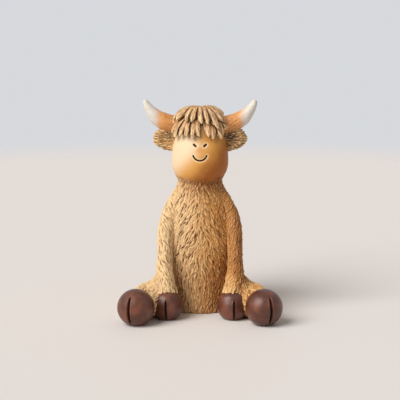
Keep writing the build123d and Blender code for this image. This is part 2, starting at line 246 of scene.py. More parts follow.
def finish_with(piece: Piece, kind: str, **settings: object) -> None:
    """Adds a modifier to a piece and applies it.

    Args:
        piece: the piece.
        kind: the modifier's type.
        settings: its values.
    """
    alone(piece)
    step = piece.modifiers.new(kind.title(), kind)
    for name, value in settings.items():
        setattr(step, name, value)
    bpy.ops.object.modifier_apply(modifier=step.name)


def copy_node(node: str, name: str) -> Piece:
    """Copy of a CAD node as a new piece, with its loose triangles merged.

    Args:
        node: the CAD node.
        name: the new piece's name.

    Returns:
        The new piece.
    """
    source = frame["nodes"][node]
    piece = source.copy()
    piece.data = source.data.copy()
    piece.parent = None
    for mark in list(piece.keys()):
        del piece[mark]
    piece.name = name
    piece.data.materials.clear()
    bpy.context.scene.collection.objects.link(piece)
    with editing(piece):
        bpy.ops.mesh.select_all(action="SELECT")
        bpy.ops.mesh.remove_doubles(threshold=WELD)
    return piece


def join(parts: Sequence[Piece], name: str) -> Piece:
    """Several pieces made one mesh, under the first one's object."""
    alone(parts[0])
    for part in parts:
        part.select_set(True)
    bpy.ops.object.join()
    parts[0].name = name
    return parts[0]


def cast_skin(piece: Piece, grain: float, swell: float = 0.0) -> None:
    """Turns overlapping shells into one even outer skin, as a mould would take it.

    Args:
        piece: the shells.
        grain: size of the skin's faces.
        swell: how far they grow first, which closes glue gaps.
    """
    if swell:
        finish_with(piece, "DISPLACE", strength=swell, mid_level=0.0)
    finish_with(piece, "REMESH", mode="VOXEL", voxel_size=grain, use_smooth_shade=True)


def keep_outer_skin(piece: Piece) -> None:
    """Drops the loose shells inside a piece, such as the walls of its sockets."""
    highest = np.zeros(len(piece.data.vertices), bool)
    highest[np.argmax(points_of(piece)[:, 2])] = True
    select_only(piece, Pick.POINTS, highest)
    with editing(piece):
        bpy.ops.mesh.select_linked()
        bpy.ops.mesh.select_all(action="INVERT")
        bpy.ops.mesh.delete(type="VERT")


def close_holes(piece: Piece) -> None:
    """Closes each open edge loop of a piece with a fan to the loop's middle."""
    with editing(piece, Pick.EDGES):
        bpy.ops.mesh.select_all(action="DESELECT")
        bpy.ops.mesh.select_non_manifold(extend=False, use_wire=False, use_multi_face=False,
                                         use_non_contiguous=False, use_verts=False)
        if piece.data.total_edge_sel:
            bpy.ops.mesh.extrude_edges_move()
            bpy.ops.mesh.merge(type="COLLAPSE")
        bpy.ops.mesh.select_all(action="SELECT")
        bpy.ops.mesh.normals_make_consistent(inside=False)


def tree_of(places: np.ndarray) -> KDTree:
    """Search tree of places."""
    tree = KDTree(len(places))
    for number, place in enumerate(places):
        tree.insert(place, number)
    tree.balance()
    return tree


def nearness(places: np.ndarray, others: np.ndarray) -> np.ndarray:
    """Distance from each place to the nearest of the others."""
    tree = tree_of(others)
    return np.array([tree.find(place)[2] for place in places])


def shell_of(nodes: Sequence[str]) -> Tuple[BVHTree, np.ndarray]:
    """Search tree of CAD nodes' faces.

    Args:
        nodes: the nodes' names.

    Returns:
        The tree, and for each face the number of the node that it is in.
    """
    corners, faces, owners, start = [], [], [], 0
    for number, node in enumerate(nodes):
        mesh = frame["nodes"][node].data
        corners.append(points_of(frame["nodes"][node]))
        flat = np.empty(len(mesh.polygons) * 3, np.int32)
        mesh.polygons.foreach_get("vertices", flat)
        faces.append(flat.reshape(-1, 3) + start)
        owners.append(np.full(len(mesh.polygons), number))
        start += len(mesh.vertices)
    tree = BVHTree.FromPolygons(np.concatenate(corners).tolist(), np.concatenate(faces).tolist())
    return tree, np.concatenate(owners)


def keep_inside(piece: Piece) -> None:
    """Holds a piece's points within the CAD model's box."""
    low, high = (np.array(corner) for corner in CAD_BOX)
    move_points(piece, np.clip(points_of(piece), low, high))


def put_on(piece: Piece, paint: bpy.types.Material, slot: str, *nodes: str) -> None:
    """Gives a finished piece its paint and its place in the frame.

    Args:
        piece: the finished piece.
        paint: its material.
        slot: the record's material slot; not used.
        nodes: the CAD nodes that it stands for.
    """
    keep_inside(piece)
    piece.data.materials.clear()
    piece.data.materials.append(paint)
    alone(piece)
    bpy.ops.object.shade_smooth()
    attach(piece, BODY)
    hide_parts(*nodes)
    LOG.info("%s: %d faces", piece.name, len(piece.data.polygons))


class PaintBoard:
    """Lays out the shader nodes of one paint."""

    def __init__(self, name: str) -> None:
        """Starts a paint with its shader."""
        self.material = bpy.data.materials.new(name)
        self.material.use_nodes = True
        self.tree = self.material.node_tree
        self.shader = self.tree.nodes["Principled BSDF"]
        self.place = self.tree.nodes.new("ShaderNodeTexCoord").outputs["Object"]

    def node(self, kind: str, **settings: object) -> bpy.types.Node:
        """A new node of a kind, with its settings."""
        made = self.tree.nodes.new(kind)
        for name, value in settings.items():
            setattr(made, name, value)
        return made

    def feed(self, socket: bpy.types.NodeSocket, value: object) -> None:
        """Links a socket to an output, or sets it to a constant."""
        if isinstance(value, bpy.types.NodeSocket):
            self.tree.links.new(value, socket)
        else:
            socket.default_value = value

    def stored(self, name: str) -> bpy.types.NodeSocket:
        """Number kept on the mesh's points."""
        return self.node("ShaderNodeAttribute", attribute_name=name).outputs["Fac"]

    def speckle(self, size: float, detail: float = 3.0, stretch: Tuple[float, float, float] = (1, 1, 1)
                ) -> bpy.types.NodeSocket:
        """Noise with spots of a given size.

        Args:
            size: the spots' size in metres.
            detail: levels of finer spots.
            stretch: how much longer the spots are along each axis.

        Returns:
            The noise, from 0 to 1.
        """
        scaled = self.node("ShaderNodeMapping")
        self.feed(scaled.inputs["Vector"], self.place)
        scaled.inputs["Scale"].default_value = [1.0 / (size * longer) for longer in stretch]
        made = self.node("ShaderNodeTexNoise")
        self.feed(made.inputs["Vector"], scaled.outputs[0])
        made.inputs["Scale"].default_value = 1.0
        made.inputs["Detail"].default_value = detail
        return made.outputs["Fac"]

    def between(self, value: bpy.types.NodeSocket, low: float, high: float, start: float = 0.0,
                end: float = 1.0) -> bpy.types.NodeSocket:
        """Soft change of a value.

        Args:
            value: what is changed.
            low: value that gives start.
            high: value that gives end.
            start: result at low.
            end: result at high.

        Returns:
            The changed value.
        """
        made = self.node("ShaderNodeMapRange", interpolation_type="SMOOTHSTEP")
        for socket, number in zip(made.inputs[:5], (value, low, high, start, end)):
            self.feed(socket, number)
        return made.outputs[0]

    def blend(self, share: object, first: object, second: object) -> bpy.types.NodeSocket:
        """Colour between two colours."""
        made = self.node("ShaderNodeMix", data_type="RGBA")
        self.feed(made.inputs[0], share)
        self.feed(made.inputs[6], first)
        self.feed(made.inputs[7], second)
        return made.outputs[2]

    def times(self, first: object, second: object) -> bpy.types.NodeSocket:
        """Product of two numbers."""
        made = self.node("ShaderNodeMath", operation="MULTIPLY")
        self.feed(made.inputs[0], first)
        self.feed(made.inputs[1], second)
        return made.outputs[0]

    def done(self, colour: object, roughness: object, grain: bpy.types.NodeSocket, relief: float,
             gloss: float = 0.5) -> bpy.types.Material:
        """Links the shader and returns the material.

        Args:
            colour: the base colour.
            roughness: the roughness.
            grain: height of the fine surface grain, from 0 to 1.
            relief: how high that grain is, in metres.
            gloss: how strongly the paint mirrors light.

        Returns:
            The material.
        """
        self.shader.inputs["Specular IOR Level"].default_value = gloss
        bump = self.node("ShaderNodeBump")
        bump.inputs["Distance"].default_value = relief
        bump.inputs["Strength"].default_value = 1.0
        self.feed(bump.inputs["Height"], grain)
        self.feed(self.shader.inputs["Base Color"], colour)
        self.feed(self.shader.inputs["Roughness"], roughness)
        self.feed(self.shader.inputs["Normal"], bump.outputs[0])
        return self.material


@dataclass(frozen=True)
class CoatPaint:
    """Tan paint with a dark wash in the cuts and a dry-brush cream on the ridges, with painted light on the animal's
    right front and painted shade in the creases, under the chin, on the lower belly and on the animal's left front.
    """

    tan: Colour = (213, 156, 86)
    warm: Colour = (204, 135, 60)
    # Painted light: the paler paint on the front of the animal's right side.
    pale: Colour = (248, 215, 168)
    cream: Colour = (246, 216, 164)
    # Painted shade: the brown in the creases, under the chin, on the lower belly and on the front of the animal's left
    # side.
    shade: Colour = (160, 94, 40)
    wash: Colour = (92, 54, 26)
    patch: float = 9.0 * MM
    grain: float = 0.5 * MM
    relief: float = 0.05 * MM
    gloss: float = 0.25

    def fur(self, board: PaintBoard) -> bpy.types.NodeSocket:
        """The fur's colour, on a paint's board."""
        patches = board.between(board.speckle(self.patch), 0.35, 0.68)
        colour = board.blend(patches, linear(self.tan), linear(self.warm))
        # Painted light, then painted shade, by the shares stored on the coat.
        colour = board.blend(board.stored("pale"), colour, linear(self.pale))
        colour = board.blend(board.stored("shade"), colour, linear(self.shade))
        # Dry-brush cream on the ridges; on the coat its amount also carries painted light.
        colour = board.blend(board.times(board.stored("ridge"), 0.8), colour, linear(self.cream))
        return board.blend(board.stored("wash"), colour, linear(self.wash))

    def material(self, name: str) -> bpy.types.Material:
        """The paint as a material of that name."""
        board = PaintBoard(name)
        fine = board.speckle(self.grain)
        return board.done(self.fur(board), board.between(fine, 0.3, 0.7, 0.5, 0.66), fine, self.relief, self.gloss)


@dataclass(frozen=True)
class FacePaint:
    """Smooth cream face, airbrushed warmer on the chin, and darker towards the chin and the animal's left cheek as
    painted shade.
    """

    cream: Colour = (238, 215, 181)
    # The next two colours are the steps from cream to the chin's warm airbrushing and the painted shade on the animal's
    # left cheek.
    gold: Colour = (226, 166, 88)
    blush_and_shade: Colour = (176, 104, 42)
    snout: Colour = (222, 152, 84)
    # Painted highlight round the engraved lines.
    rim: Colour = (255, 232, 190)
    ink: Colour = (66, 28, 4)
    coat: CoatPaint = CoatPaint()
    patch: float = 8.0 * MM
    grain: float = 0.8 * MM
    relief: float = 0.015 * MM
    gloss: float = 0.22

    def material(self, name: str) -> bpy.types.Material:
        """The paint as a material of that name."""
        board = PaintBoard(name)
        cloud = board.between(board.speckle(self.patch, 2.0), 0.3, 0.7, 0.9, 1.06)
        # Warm airbrushing on the chin together with painted shade towards the animal's left cheek.
        blush_and_shade = board.times(board.stored("blush_and_shade"), cloud)
        colour = board.blend(board.between(blush_and_shade, 0.0, 0.55), linear(self.cream), linear(self.gold))
        colour = board.blend(board.between(blush_and_shade, 0.45, 1.0), colour, linear(self.blush_and_shade))
        colour = board.blend(board.times(board.stored("snout"), cloud), colour, linear(self.snout))
        # Painted highlight round the engraved lines.
        colour = board.blend(board.stored("rim"), colour, linear(self.rim))
        colour = board.blend(board.stored("fur"), colour, self.coat.fur(board))
        # Painted shadow under the hair.
        colour = board.blend(board.stored("hair_shadow"), colour, linear(self.coat.wash))
        colour = board.blend(board.stored("ink"), colour, linear(self.ink))
        fine = board.speckle(self.grain)
        return board.done(colour, board.between(fine, 0.3, 0.7, 0.42, 0.54), fine, self.relief, self.gloss)


@dataclass(frozen=True)
class HairPaint:
    """Cream-tan locks with dark brown between them."""

    tan: Colour = (214, 160, 104)
    cream: Colour = (252, 224, 178)
    wash: Colour = (92, 52, 26)
    patch: float = 4.0 * MM
    grain: float = 0.4 * MM
    relief: float = 0.04 * MM

    def material(self, name: str) -> bpy.types.Material:
        """The paint as a material of that name."""
        board = PaintBoard(name)
        warm = tuple(int(part * 0.86) for part in self.tan)
        patches = board.between(board.speckle(self.patch), 0.35, 0.7)
        colour = board.blend(patches, linear(self.tan), linear(warm))
        colour = board.blend(board.times(board.stored("ridge"), 0.9), colour, linear(self.cream))
        colour = board.blend(board.stored("wash"), colour, linear(self.wash))
        fine = board.speckle(self.grain)
        return board.done(colour, board.between(fine, 0.3, 0.7, 0.5, 0.66), fine, self.relief)


@dataclass(frozen=True)
class EarPaint:
    """Tan ear, dark brown inside, with light hair lines; the ear on the animal's left is darker inside and tinted
    darker all over as painted shade.
    """

    tan: Colour = (222, 174, 112)
    cream: Colour = (248, 222, 172)
    inside: Colour = (88, 52, 26)
    wash: Colour = (84, 50, 26)
    grain: float = 0.4 * MM
    relief: float = 0.04 * MM

    def material(self, name: str) -> bpy.types.Material:
        """The paint as a material of that name."""
        board = PaintBoard(name)
        colour = board.blend(board.stored("cup"), linear(self.tan), linear(self.inside))
        colour = board.blend(board.times(board.stored("ridge"), 0.7), colour, linear(self.cream))
        colour = board.blend(board.stored("wash"), colour, linear(self.wash))
        fine = board.speckle(self.grain)
        return board.done(colour, board.between(fine, 0.3, 0.7, 0.52, 0.68), fine, self.relief)


@dataclass(frozen=True)
class HornPaint:
    """Off-white horn that turns orange-tan towards its root."""

    white: Colour = (226, 223, 217)
    shade: Colour = (205, 192, 172)
    root: Colour = (224, 158, 92)
    wash: Colour = (140, 84, 40)
    grain: float = 0.6 * MM
    relief: float = 0.02 * MM

    def material(self, name: str) -> bpy.types.Material:
        """The paint as a material of that name."""
        board = PaintBoard(name)
        streak = board.speckle(1.2 * MM, 3.0, (5.0, 1.0, 1.0))
        colour = board.blend(board.between(streak, 0.45, 0.75, 0.0, 0.5), linear(self.white), linear(self.shade))
        colour = board.blend(board.stored("root"), colour, linear(self.root))
        colour = board.blend(board.stored("wash"), colour, linear(self.wash))
        fine = board.speckle(self.grain)
        return board.done(colour, board.between(fine, 0.3, 0.7, 0.34, 0.48), fine, self.relief)


@dataclass(frozen=True)
class HoofPaint:
    """Satin dark brown with a little worn light on the swell and dark in the cleft."""

    brown: Colour = (84, 46, 33)
    light: Colour = (124, 70, 50)
    dark: Colour = (30, 15, 11)
    patch: float = 6.0 * MM
    grain: float = 0.5 * MM
    relief: float = 0.02 * MM

    def material(self, name: str) -> bpy.types.Material:
        """The paint as a material of that name."""
        board = PaintBoard(name)
        patches = board.between(board.speckle(self.patch, 4.0), 0.4, 0.75)
        colour = board.blend(patches, linear(self.brown), linear(self.light))
        colour = board.blend(board.stored("wash"), colour, linear(self.dark))
        fine = board.speckle(self.grain)
        return board.done(colour, board.between(fine, 0.3, 0.7, 0.3, 0.44), fine, self.relief)


@dataclass(frozen=True)
class Stroke:
    """One kind of tool mark in the fur, with its sizes in metres.

    A mark with a positive rise is a raised tuft, and one with a negative rise is a cut.
    """

    spacing: float
    length: Span
    width: Span
    rise: Span
    wash: Span = (0.0, 0.0)
    sway: float = 14.0
    drift: float = 22.0
    bend: float = 0.05


@dataclass
class Carver:
    """Raises tufts and cuts hair lines on one piece, then notes its hollows and ridges."""

    piece: Piece
    seed: int
    even_rounds: int = 4
    hollow_rounds: int = 6
    hollow_depth: float = 0.11 * MM
    drift_patch: float = 9.0 * MM

    def __post_init__(self) -> None:
        """Takes the piece's places, directions and search tree."""
        self.points = points_of(self.piece)
        self.edges = edges_of(self.piece)
        self.normals = unit(relaxed(normals_of(self.piece), self.edges, self.even_rounds))
        self.tree = tree_of(self.points)
        self.random = np.random.default_rng(self.seed)
        self.lift = np.zeros(len(self.points))
        self.wash = np.zeros(len(self.points))

    def places(self, spacing: float, mask: np.ndarray) -> np.ndarray:
        """One random point in each cell of an even grid, where the mask lets a mark be."""
        order = self.random.permutation(len(self.points))
        cells = np.floor(self.points[order] / spacing).astype(int)
        _, first = np.unique(cells, axis=0, return_index=True)
        spots = np.sort(order[first])
        return spots[mask[spots] > self.random.random(len(spots))]

    def turned(self, spots: np.ndarray, headings: np.ndarray, kind: Stroke) -> Tuple[np.ndarray, np.ndarray]:
        """Headings at the marks, swayed a little, and the directions across them."""
        out = self.normals[spots]
        along = headings[spots]
        along = unit(along - out * np.sum(along * out, axis=1, keepdims=True))
        across = np.cross(out, along)
        drift = [noise.noise(Vector(spot / self.drift_patch)) for spot in self.points[spots]]
        angle = np.radians(kind.drift * 2.0 * np.array(drift) + kind.sway * self.random.normal(size=len(spots)))
        cosine, sine = np.cos(angle)[:, None], np.sin(angle)[:, None]
        return along * cosine + across * sine, across * cosine - along * sine

    def mark(self, kind: Stroke, headings: np.ndarray, mask: np.ndarray) -> None:
        """Makes one kind of mark all over the mask.

        Args:
            kind: the mark.
            headings: the way the hair runs at each point.
            mask: from 0 to 1, how many marks a place has.
        """
        spots = self.places(kind.spacing, mask)
        along, across = self.turned(spots, headings, kind)
        draw = self.random.random((len(spots), 5))
        sizes = (kind.length, kind.width, kind.rise, kind.wash, (-kind.bend / MM, kind.bend / MM))
        length, width, rise, wash, bend = (low + (high - low) * draw[:, n] for n, (low, high) in enumerate(sizes))
        for n, spot in enumerate(spots):
            self.press(spot, along[n], across[n], length[n], width[n], rise[n], wash[n], bend[n])

    def press(self, spot: int, along: np.ndarray, across: np.ndarray, length: float, width: float,
              rise: float, wash: float, bend: float) -> None:
        """Presses one mark into the piece.

        Args:
            spot: the point at the mark's middle.
            along: its heading.
            across: the direction across it.
            length: its length.
            width: its half width.
            rise: its height, negative for a cut.
            wash: how dark the paint in it is.
            bend: how much it curves.
        """
        near = np.array([hit[1] for hit in self.tree.find_range(self.points[spot], length / 2 + width)])
        away = self.points[near] - self.points[spot]
        run = away @ along / length + 0.5
        aside = away @ across + bend * (away @ along) ** 2
        if rise > 0:
            taper = smooth_step(0.0, 0.75, run) * smooth_step(1.0, 0.84, run)
        else:
            taper = smooth_step(0.0, 0.3, run) * smooth_step(1.0, 0.45, run)
        flank = np.clip(1.0 - (aside / (width * (0.45 + 0.55 * taper))) ** 2, 0.0, 1.0)
        facing = self.normals[near] @ self.normals[spot] > 0.35
        shape = flank * taper * facing
        if rise > 0:
            self.lift[near] = np.maximum(self.lift[near], rise * shape)
        else:
            self.lift[near] = np.minimum(self.lift[near], self.lift[near] * (1 - shape) + rise * shape)
        self.wash[near] = np.maximum(self.wash[near], wash * shape)

    def finish(self, hollow_share: float, limit: np.ndarray, brushed: object = 1.0) -> None:
        """Moves the points, and stores the wash in the hollows and the light on the ridges.

        Args:
            hollow_share: how dark a hollow of the full depth is.
            limit: from 0 to 1, how much wash and ridge a place may have.
            brushed: from 0 to 1, how much dry-brush cream its ridges have, which on the coat also carries painted
                light.
        """
        places = self.points + self.normals * self.lift[:, None]
        move_points(self.piece, places)
        sunk = np.sum((relaxed(places, self.edges, self.hollow_rounds) - places) * self.normals, axis=1)
        depth = sunk / self.hollow_depth
        wash = np.clip(self.wash + hollow_share * np.clip(depth - 0.15, 0.0, 1.0), 0.0, 1.0)
        keep_value(self.piece, "wash", wash * limit)
        keep_value(self.piece, "ridge", np.clip(-depth, 0.0, 1.0) * (1.0 - wash) * limit * brushed)


@dataclass
class HeadPlace:
    """The head's own axis: places and directions on it, put into the frame."""

    height: float = 70.7 * MM
    back: float = -4.0 * MM
    tilt: float = 7.0
    hub_rise: float = 11.0 * MM
    far: float = 60.0 * MM

    def __post_init__(self) -> None:
        """Takes the head's outer surface."""
        self.shell, _ = shell_of(["head"])

    def turned(self, rows: np.ndarray) -> np.ndarray:
        """Directions about the head's axis as directions in the frame."""
        sine, cosine = math.sin(math.radians(self.tilt)), math.cos(math.radians(self.tilt))
        x, y, z = np.asarray(rows, float).T
        return np.stack([x, y * cosine + z * sine, z * cosine - y * sine], axis=-1)

    def place(self, rows: np.ndarray) -> np.ndarray:
        """Places about the head's axis as places in the frame."""
        return self.turned(rows) + np.array([0.0, self.back, self.height])

    def local(self, rows: np.ndarray) -> np.ndarray:
        """Places in the frame as places about the head's axis."""
        sine, cosine = math.sin(math.radians(self.tilt)), math.cos(math.radians(self.tilt))
        x, y, z = (rows - np.array([0.0, self.back, self.height])).T
        return np.stack([x, y * cosine - z * sine, z * cosine + y * sine], axis=-1)

    def scalp(self, azimuth: float, polar: float) -> Tuple[np.ndarray, np.ndarray]:
        """Place and outward direction on the head.

        Args:
            azimuth: degrees round from the face towards the animal's left.
            polar: degrees down from the crown, about a hub in the brow.

        Returns:
            The place and the direction.
        """
        round_, down = math.radians(azimuth), math.radians(polar)
        way = (math.sin(round_) * math.sin(down), -math.cos(round_) * math.sin(down), math.cos(down))
        hub = self.place(np.array([[0.0, 0.0, self.hub_rise]]))[0]
        out = self.turned(np.array([way]))[0]
        spot, normal, _, _ = self.shell.ray_cast(Vector(hub + out * self.far), Vector(-out))
        return np.array(spot), np.array(normal)

    def front(self, x: float, z: float) -> np.ndarray:
        """Place on the face straight behind a point of its front view."""
        start = self.place(np.array([[x, -self.far, z]]))[0]
        way = self.turned(np.array([[0.0, 1.0, 0.0]]))[0]
        return np.array(self.shell.ray_cast(Vector(start), Vector(way))[0])


@dataclass
class FurCoat:
    """Torso, head, legs and tail: one carved coat over all of them, cut apart at the pieces' seams."""

    head: HeadPlace
    nodes: Tuple[str, ...] = ("torso", "head", "foreleg_left", "foreleg_right", "hindleg_left",
                              "hindleg_right", "tail")
    grain: float = 0.33 * MM
    swell: float = 0.08 * MM
    cuff_place: Tuple[float, float, float] = (15.3 * MM, -25.2 * MM, 11.5 * MM)
    cuff_way: Tuple[float, float, float] = (0.0, 0.36, 0.93)
    cuff_edge: Span = (0.4 * MM, 2.4 * MM)
    fray_patch: float = 2.0 * MM
    fray_drop: float = 1.0 * MM
    shoulder_rise: Tuple[float, ...] = (36.0 * MM, 41.0 * MM, 45.0 * MM, 49.0 * MM, 53.0 * MM, 58.0 * MM)
    shoulder_swell: Tuple[float, ...] = (0.0 * MM, 0.3 * MM, 0.8 * MM, 0.9 * MM, 0.6 * MM, 0.0 * MM)
    shoulder_out: Span = (4.0 * MM, 12.0 * MM)
    slim_rise: Tuple[float, ...] = (12.0 * MM, 18.0 * MM, 26.0 * MM, 32.0 * MM, 38.0 * MM)
    slim_depth: Tuple[float, ...] = (0.0 * MM, 1.1 * MM, 1.7 * MM, 1.2 * MM, 0.0 * MM)
    slim_out: Span = (13.5 * MM, 19.0 * MM)
    haunch_out: Tuple[float, ...] = (17.5 * MM, 20.5 * MM, 22.5 * MM, 25.0 * MM, 27.0 * MM, 29.5 * MM)
    haunch_drop: Tuple[float, ...] = (0.0 * MM, 1.8 * MM, 3.0 * MM, 2.9 * MM, 1.4 * MM, 0.0 * MM)
    haunch_rise: Span = (8.0 * MM, 15.0 * MM)
    haunch_rounds: int = 12
    vote_rounds: int = 5
    seam_reach: float = 3.4 * MM
    neck_reach: float = 2.0 * MM
    seam_rounds: int = 50
    tufts: Stroke = Stroke(1.9 * MM, (3.6 * MM, 6.4 * MM), (0.75 * MM, 1.25 * MM), (0.16 * MM, 0.42 * MM),
                           (0.0, 0.0), 12.0, 16.0)
    hairs: Stroke = Stroke(1.05 * MM, (2.6 * MM, 5.0 * MM), (0.22 * MM, 0.36 * MM), (-0.26 * MM, -0.08 * MM),
                           (0.0, 0.3), 14.0, 18.0)
    gouges: Stroke = Stroke(2.3 * MM, (2.6 * MM, 5.4 * MM), (0.24 * MM, 0.42 * MM), (-0.46 * MM, -0.2 * MM),
                            (0.3, 1.0), 9.0, 11.0)
    deep: Stroke = Stroke(2.7 * MM, (3.2 * MM, 5.8 * MM), (0.34 * MM, 0.52 * MM), (-0.62 * MM, -0.36 * MM),
                          (0.6, 0.95), 11.0, 10.0)
    deep_middle: float = -8.5 * MM
    deep_half: float = 5.0 * MM
    deep_rise: Tuple[float, ...] = (14.0 * MM, 24.0 * MM, 40.0 * MM, 54.0 * MM, 61.0 * MM)
    deep_share: Tuple[float, ...] = (0.1, 0.4, 0.7, 0.7, 0.4)
    gouge_patch: float = 15.0 * MM
    chin_fur: Span = (-9.4 * MM, -7.4 * MM)
    cheek_fur: float = 2.2 * MM
    border_patch: float = 3.4 * MM
    # How far the painted shade in the creases between the legs and the body reaches.
    crease_reach: float = 3.6 * MM
    # Painted light: where the paler paint lies, on the front of the animal's right side.
    painted_light_side: Span = (8.0 * MM, -16.0 * MM)
    painted_light_front: Span = (9.0 * MM, -8.0 * MM)
    painted_light_share: float = 0.92
    # Spans of the painted shade under the chin, on the front of the animal's left side and on the lower belly.
    throat: Span = (53.0 * MM, 61.0 * MM)
    chin_shade: Span = (72.0 * MM, 64.0 * MM)
    flank: Span = (6.0 * MM, 19.0 * MM)
    belly: Span = (36.0 * MM, 14.0 * MM)

    def trim_cuff(self, leg: Piece, side: Side) -> None:
        """Ends a foreleg in a flat cuff, above the hoof's swell."""
        across, forward, height = self.cuff_place
        with editing(leg):
            bpy.ops.mesh.select_all(action="SELECT")
            bpy.ops.mesh.bisect(plane_co=(side.value * across, forward, height), plane_no=self.cuff_way,
                                use_fill=True, clear_inner=True)

    def fuse(self) -> Piece:
        """One even skin over copies of the furred nodes."""
        parts = [copy_node(node, f"coat_{node}") for node in self.nodes]
        for side in Side:
            self.trim_cuff(parts[self.nodes.index(f"foreleg_{side.word}")], side)
        coat = join(parts, "coat_torso")
        cast_skin(coat, self.grain, self.swell)
        keep_outer_skin(coat)
        return coat

    def square_shoulders(self, coat: Piece, owner: np.ndarray) -> None:
        """Fills the shoulders out and slims the forelegs' outer sides, so that the outline falls straighter.

        Args:
            coat: the fused coat.
            owner: number of the node at each point.
        """
        places = points_of(coat)
        side, out = np.sign(places[:, 0]), np.abs(places[:, 0])
        shoulder = np.interp(places[:, 2], self.shoulder_rise, self.shoulder_swell)
        places[:, 0] += side * shoulder * smooth_step(*self.shoulder_out, out)
        legs = [self.nodes.index(f"foreleg_{side.word}") for side in Side]
        slim = np.interp(places[:, 2], self.slim_rise, self.slim_depth) * np.isin(owner, legs)
        places[:, 0] -= side * slim * smooth_step(*self.slim_out, out)
        move_points(coat, places)

    def slim_haunches(self, coat: Piece, owner: np.ndarray) -> None:
        """Lowers the hind legs' upper sides, so that they slope from the flank to the hoof.

        Args:
            coat: the fused coat.
            owner: number of the node at each point.
        """
        places = points_of(coat)
        legs = [self.nodes.index(f"hindleg_{side.word}") for side in Side]
        drop = np.interp(np.abs(places[:, 0]), self.haunch_out, self.haunch_drop) * np.isin(owner, legs)
        drop = relaxed(drop, edges_of(coat), self.haunch_rounds)
        places[:, 2] -= drop * smooth_step(*self.haunch_rise, places[:, 2])
        move_points(coat, places)

    def owners(self, coat: Piece) -> np.ndarray:
        """Number of the CAD node that each point of the coat lies on, with even borders."""
        shell, face_owner = shell_of(self.nodes)
        nearest = np.array([face_owner[shell.find_nearest(place)[2]] for place in points_of(coat)])
        edges = edges_of(coat)
        votes = [relaxed((nearest == number).astype(float), edges, self.vote_rounds)
                 for number in range(len(self.nodes))]
        return np.argmax(np.stack(votes, axis=1), axis=1)

    def soften_seams(self, coat: Piece, owner: np.ndarray) -> None:
        """Rounds the seams over where the maker filled them: shoulders, neck, hips and tail root.

        Args:
            coat: the fused coat.
            owner: number of the node at each point.
        """
        places, edges = points_of(coat), edges_of(coat)
        split = edges[owner[edges[:, 0]] != owner[edges[:, 1]]]
        away = nearness(places, places[np.unique(split)])
        self.seam_away = away
        filled = smooth_step(40.0 * MM, 52.0 * MM, places[:, 2])
        reach = self.seam_reach + self.neck_reach * smooth_step(50.0 * MM, 58.0 * MM, places[:, 2])
        weight = smooth_step(1.0, 0.3, away / reach) * np.maximum(filled, 0.25)
        group = coat.vertex_groups.new(name="seams")
        for number in np.nonzero(weight > 0.01)[0]:
            group.add([int(number)], float(weight[number]), "REPLACE")
        finish_with(coat, "SMOOTH", factor=0.5, iterations=self.seam_rounds, vertex_group=group.name)
        coat.vertex_groups.clear()

    def flow(self, places: np.ndarray, owner: np.ndarray) -> np.ndarray:
        """The way the fur lies at each point: down, and out from the middle of the chest.

        Args:
            places: the coat's points.
            owner: number of the node at each point.

        Returns:
            A heading per point, not yet laid on the surface.
        """
        side = np.sign(places[:, 0])
        spread = 0.5 * smooth_step(4.0 * MM, 40.0 * MM, places[:, 2]) * smooth_step(0.0, 4.0 * MM, np.abs(places[:, 0]))
        spread *= smooth_step(8.0 * MM, -6.0 * MM, places[:, 1])
        headings = np.stack([side * spread, np.zeros(len(places)), np.full(len(places), -1.0)], axis=1)
        for number, node in enumerate(self.nodes):
            chosen = owner == number
            outward = Side.LEFT.value if node.endswith(Side.LEFT.word) else Side.RIGHT.value
            if node.startswith("foreleg"):
                headings[chosen] = (-0.45 * outward, -0.35, -1.0)
            elif node.startswith("hindleg"):
                headings[chosen] = (0.45 * outward, -0.9, -0.45)
        return headings

    def bare(self, places: np.ndarray, normals: np.ndarray, owner: np.ndarray) -> np.ndarray:
        """How bare of fur each point is: the face, and the flat underside."""
        spot = self.head.local(places)
        azimuth = np.abs(np.arctan2(spot[:, 0], -spot[:, 1]))
        wander = np.array([noise.noise(Vector(place / self.border_patch)) for place in places])
        ahead = smooth_step(math.radians(112.0), math.radians(94.0), azimuth + 0.4 * wander)
        climb = self.cheek_fur * smooth_step(math.radians(20.0), math.radians(85.0), azimuth)
        above = smooth_step(self.chin_fur[0], self.chin_fur[1], spot[:, 2] - climb + 1.6 * MM * wander)
        face = ahead * above * (owner == self.nodes.index("head"))
        under = smooth_step(-0.75, -0.95, normals[:, 2]) * smooth_step(1.2 * MM, 0.4 * MM, places[:, 2])
        return np.maximum(face, under)

    def carve(self, coat: Piece, owner: np.ndarray) -> None:
        """Carves the fur over the whole coat and stores what the paints need.

        Args:
            coat: the fused coat.
            owner: number of the node at each point.
        """
        carver = Carver(coat, seed=11)
        furry = 1.0 - self.bare(carver.points, carver.normals, owner)
        headings = self.flow(carver.points, owner)
        patches = np.array([noise.noise(Vector(place / self.gouge_patch)) for place in carver.points])
        dense = np.clip(0.7 + 0.9 * patches - carver.points[:, 0] / (60.0 * MM), 0.3, 1.0)
        dense *= smooth_step(0.6 * MM, 2.4 * MM, self.seam_away)
        carver.mark(self.tufts, headings, furry)
        carver.mark(self.hairs, headings, furry)
        carver.mark(self.gouges, headings, furry * dense)
        band = np.exp(-((carver.points[:, 0] - self.deep_middle) / self.deep_half) ** 2) * (carver.points[:, 1] < 0.0)
        band *= np.interp(carver.points[:, 2], self.deep_rise, self.deep_share) * (owner == 0)
        carver.mark(self.deep, headings, furry * band)
        carver.lift *= furry
        carver.wash *= furry
        legs = [self.nodes.index(f"foreleg_{side.word}") for side in Side]
        ankle = smooth_step(24.0 * MM, 13.0 * MM, carver.points[:, 2]) * (owner > 0)
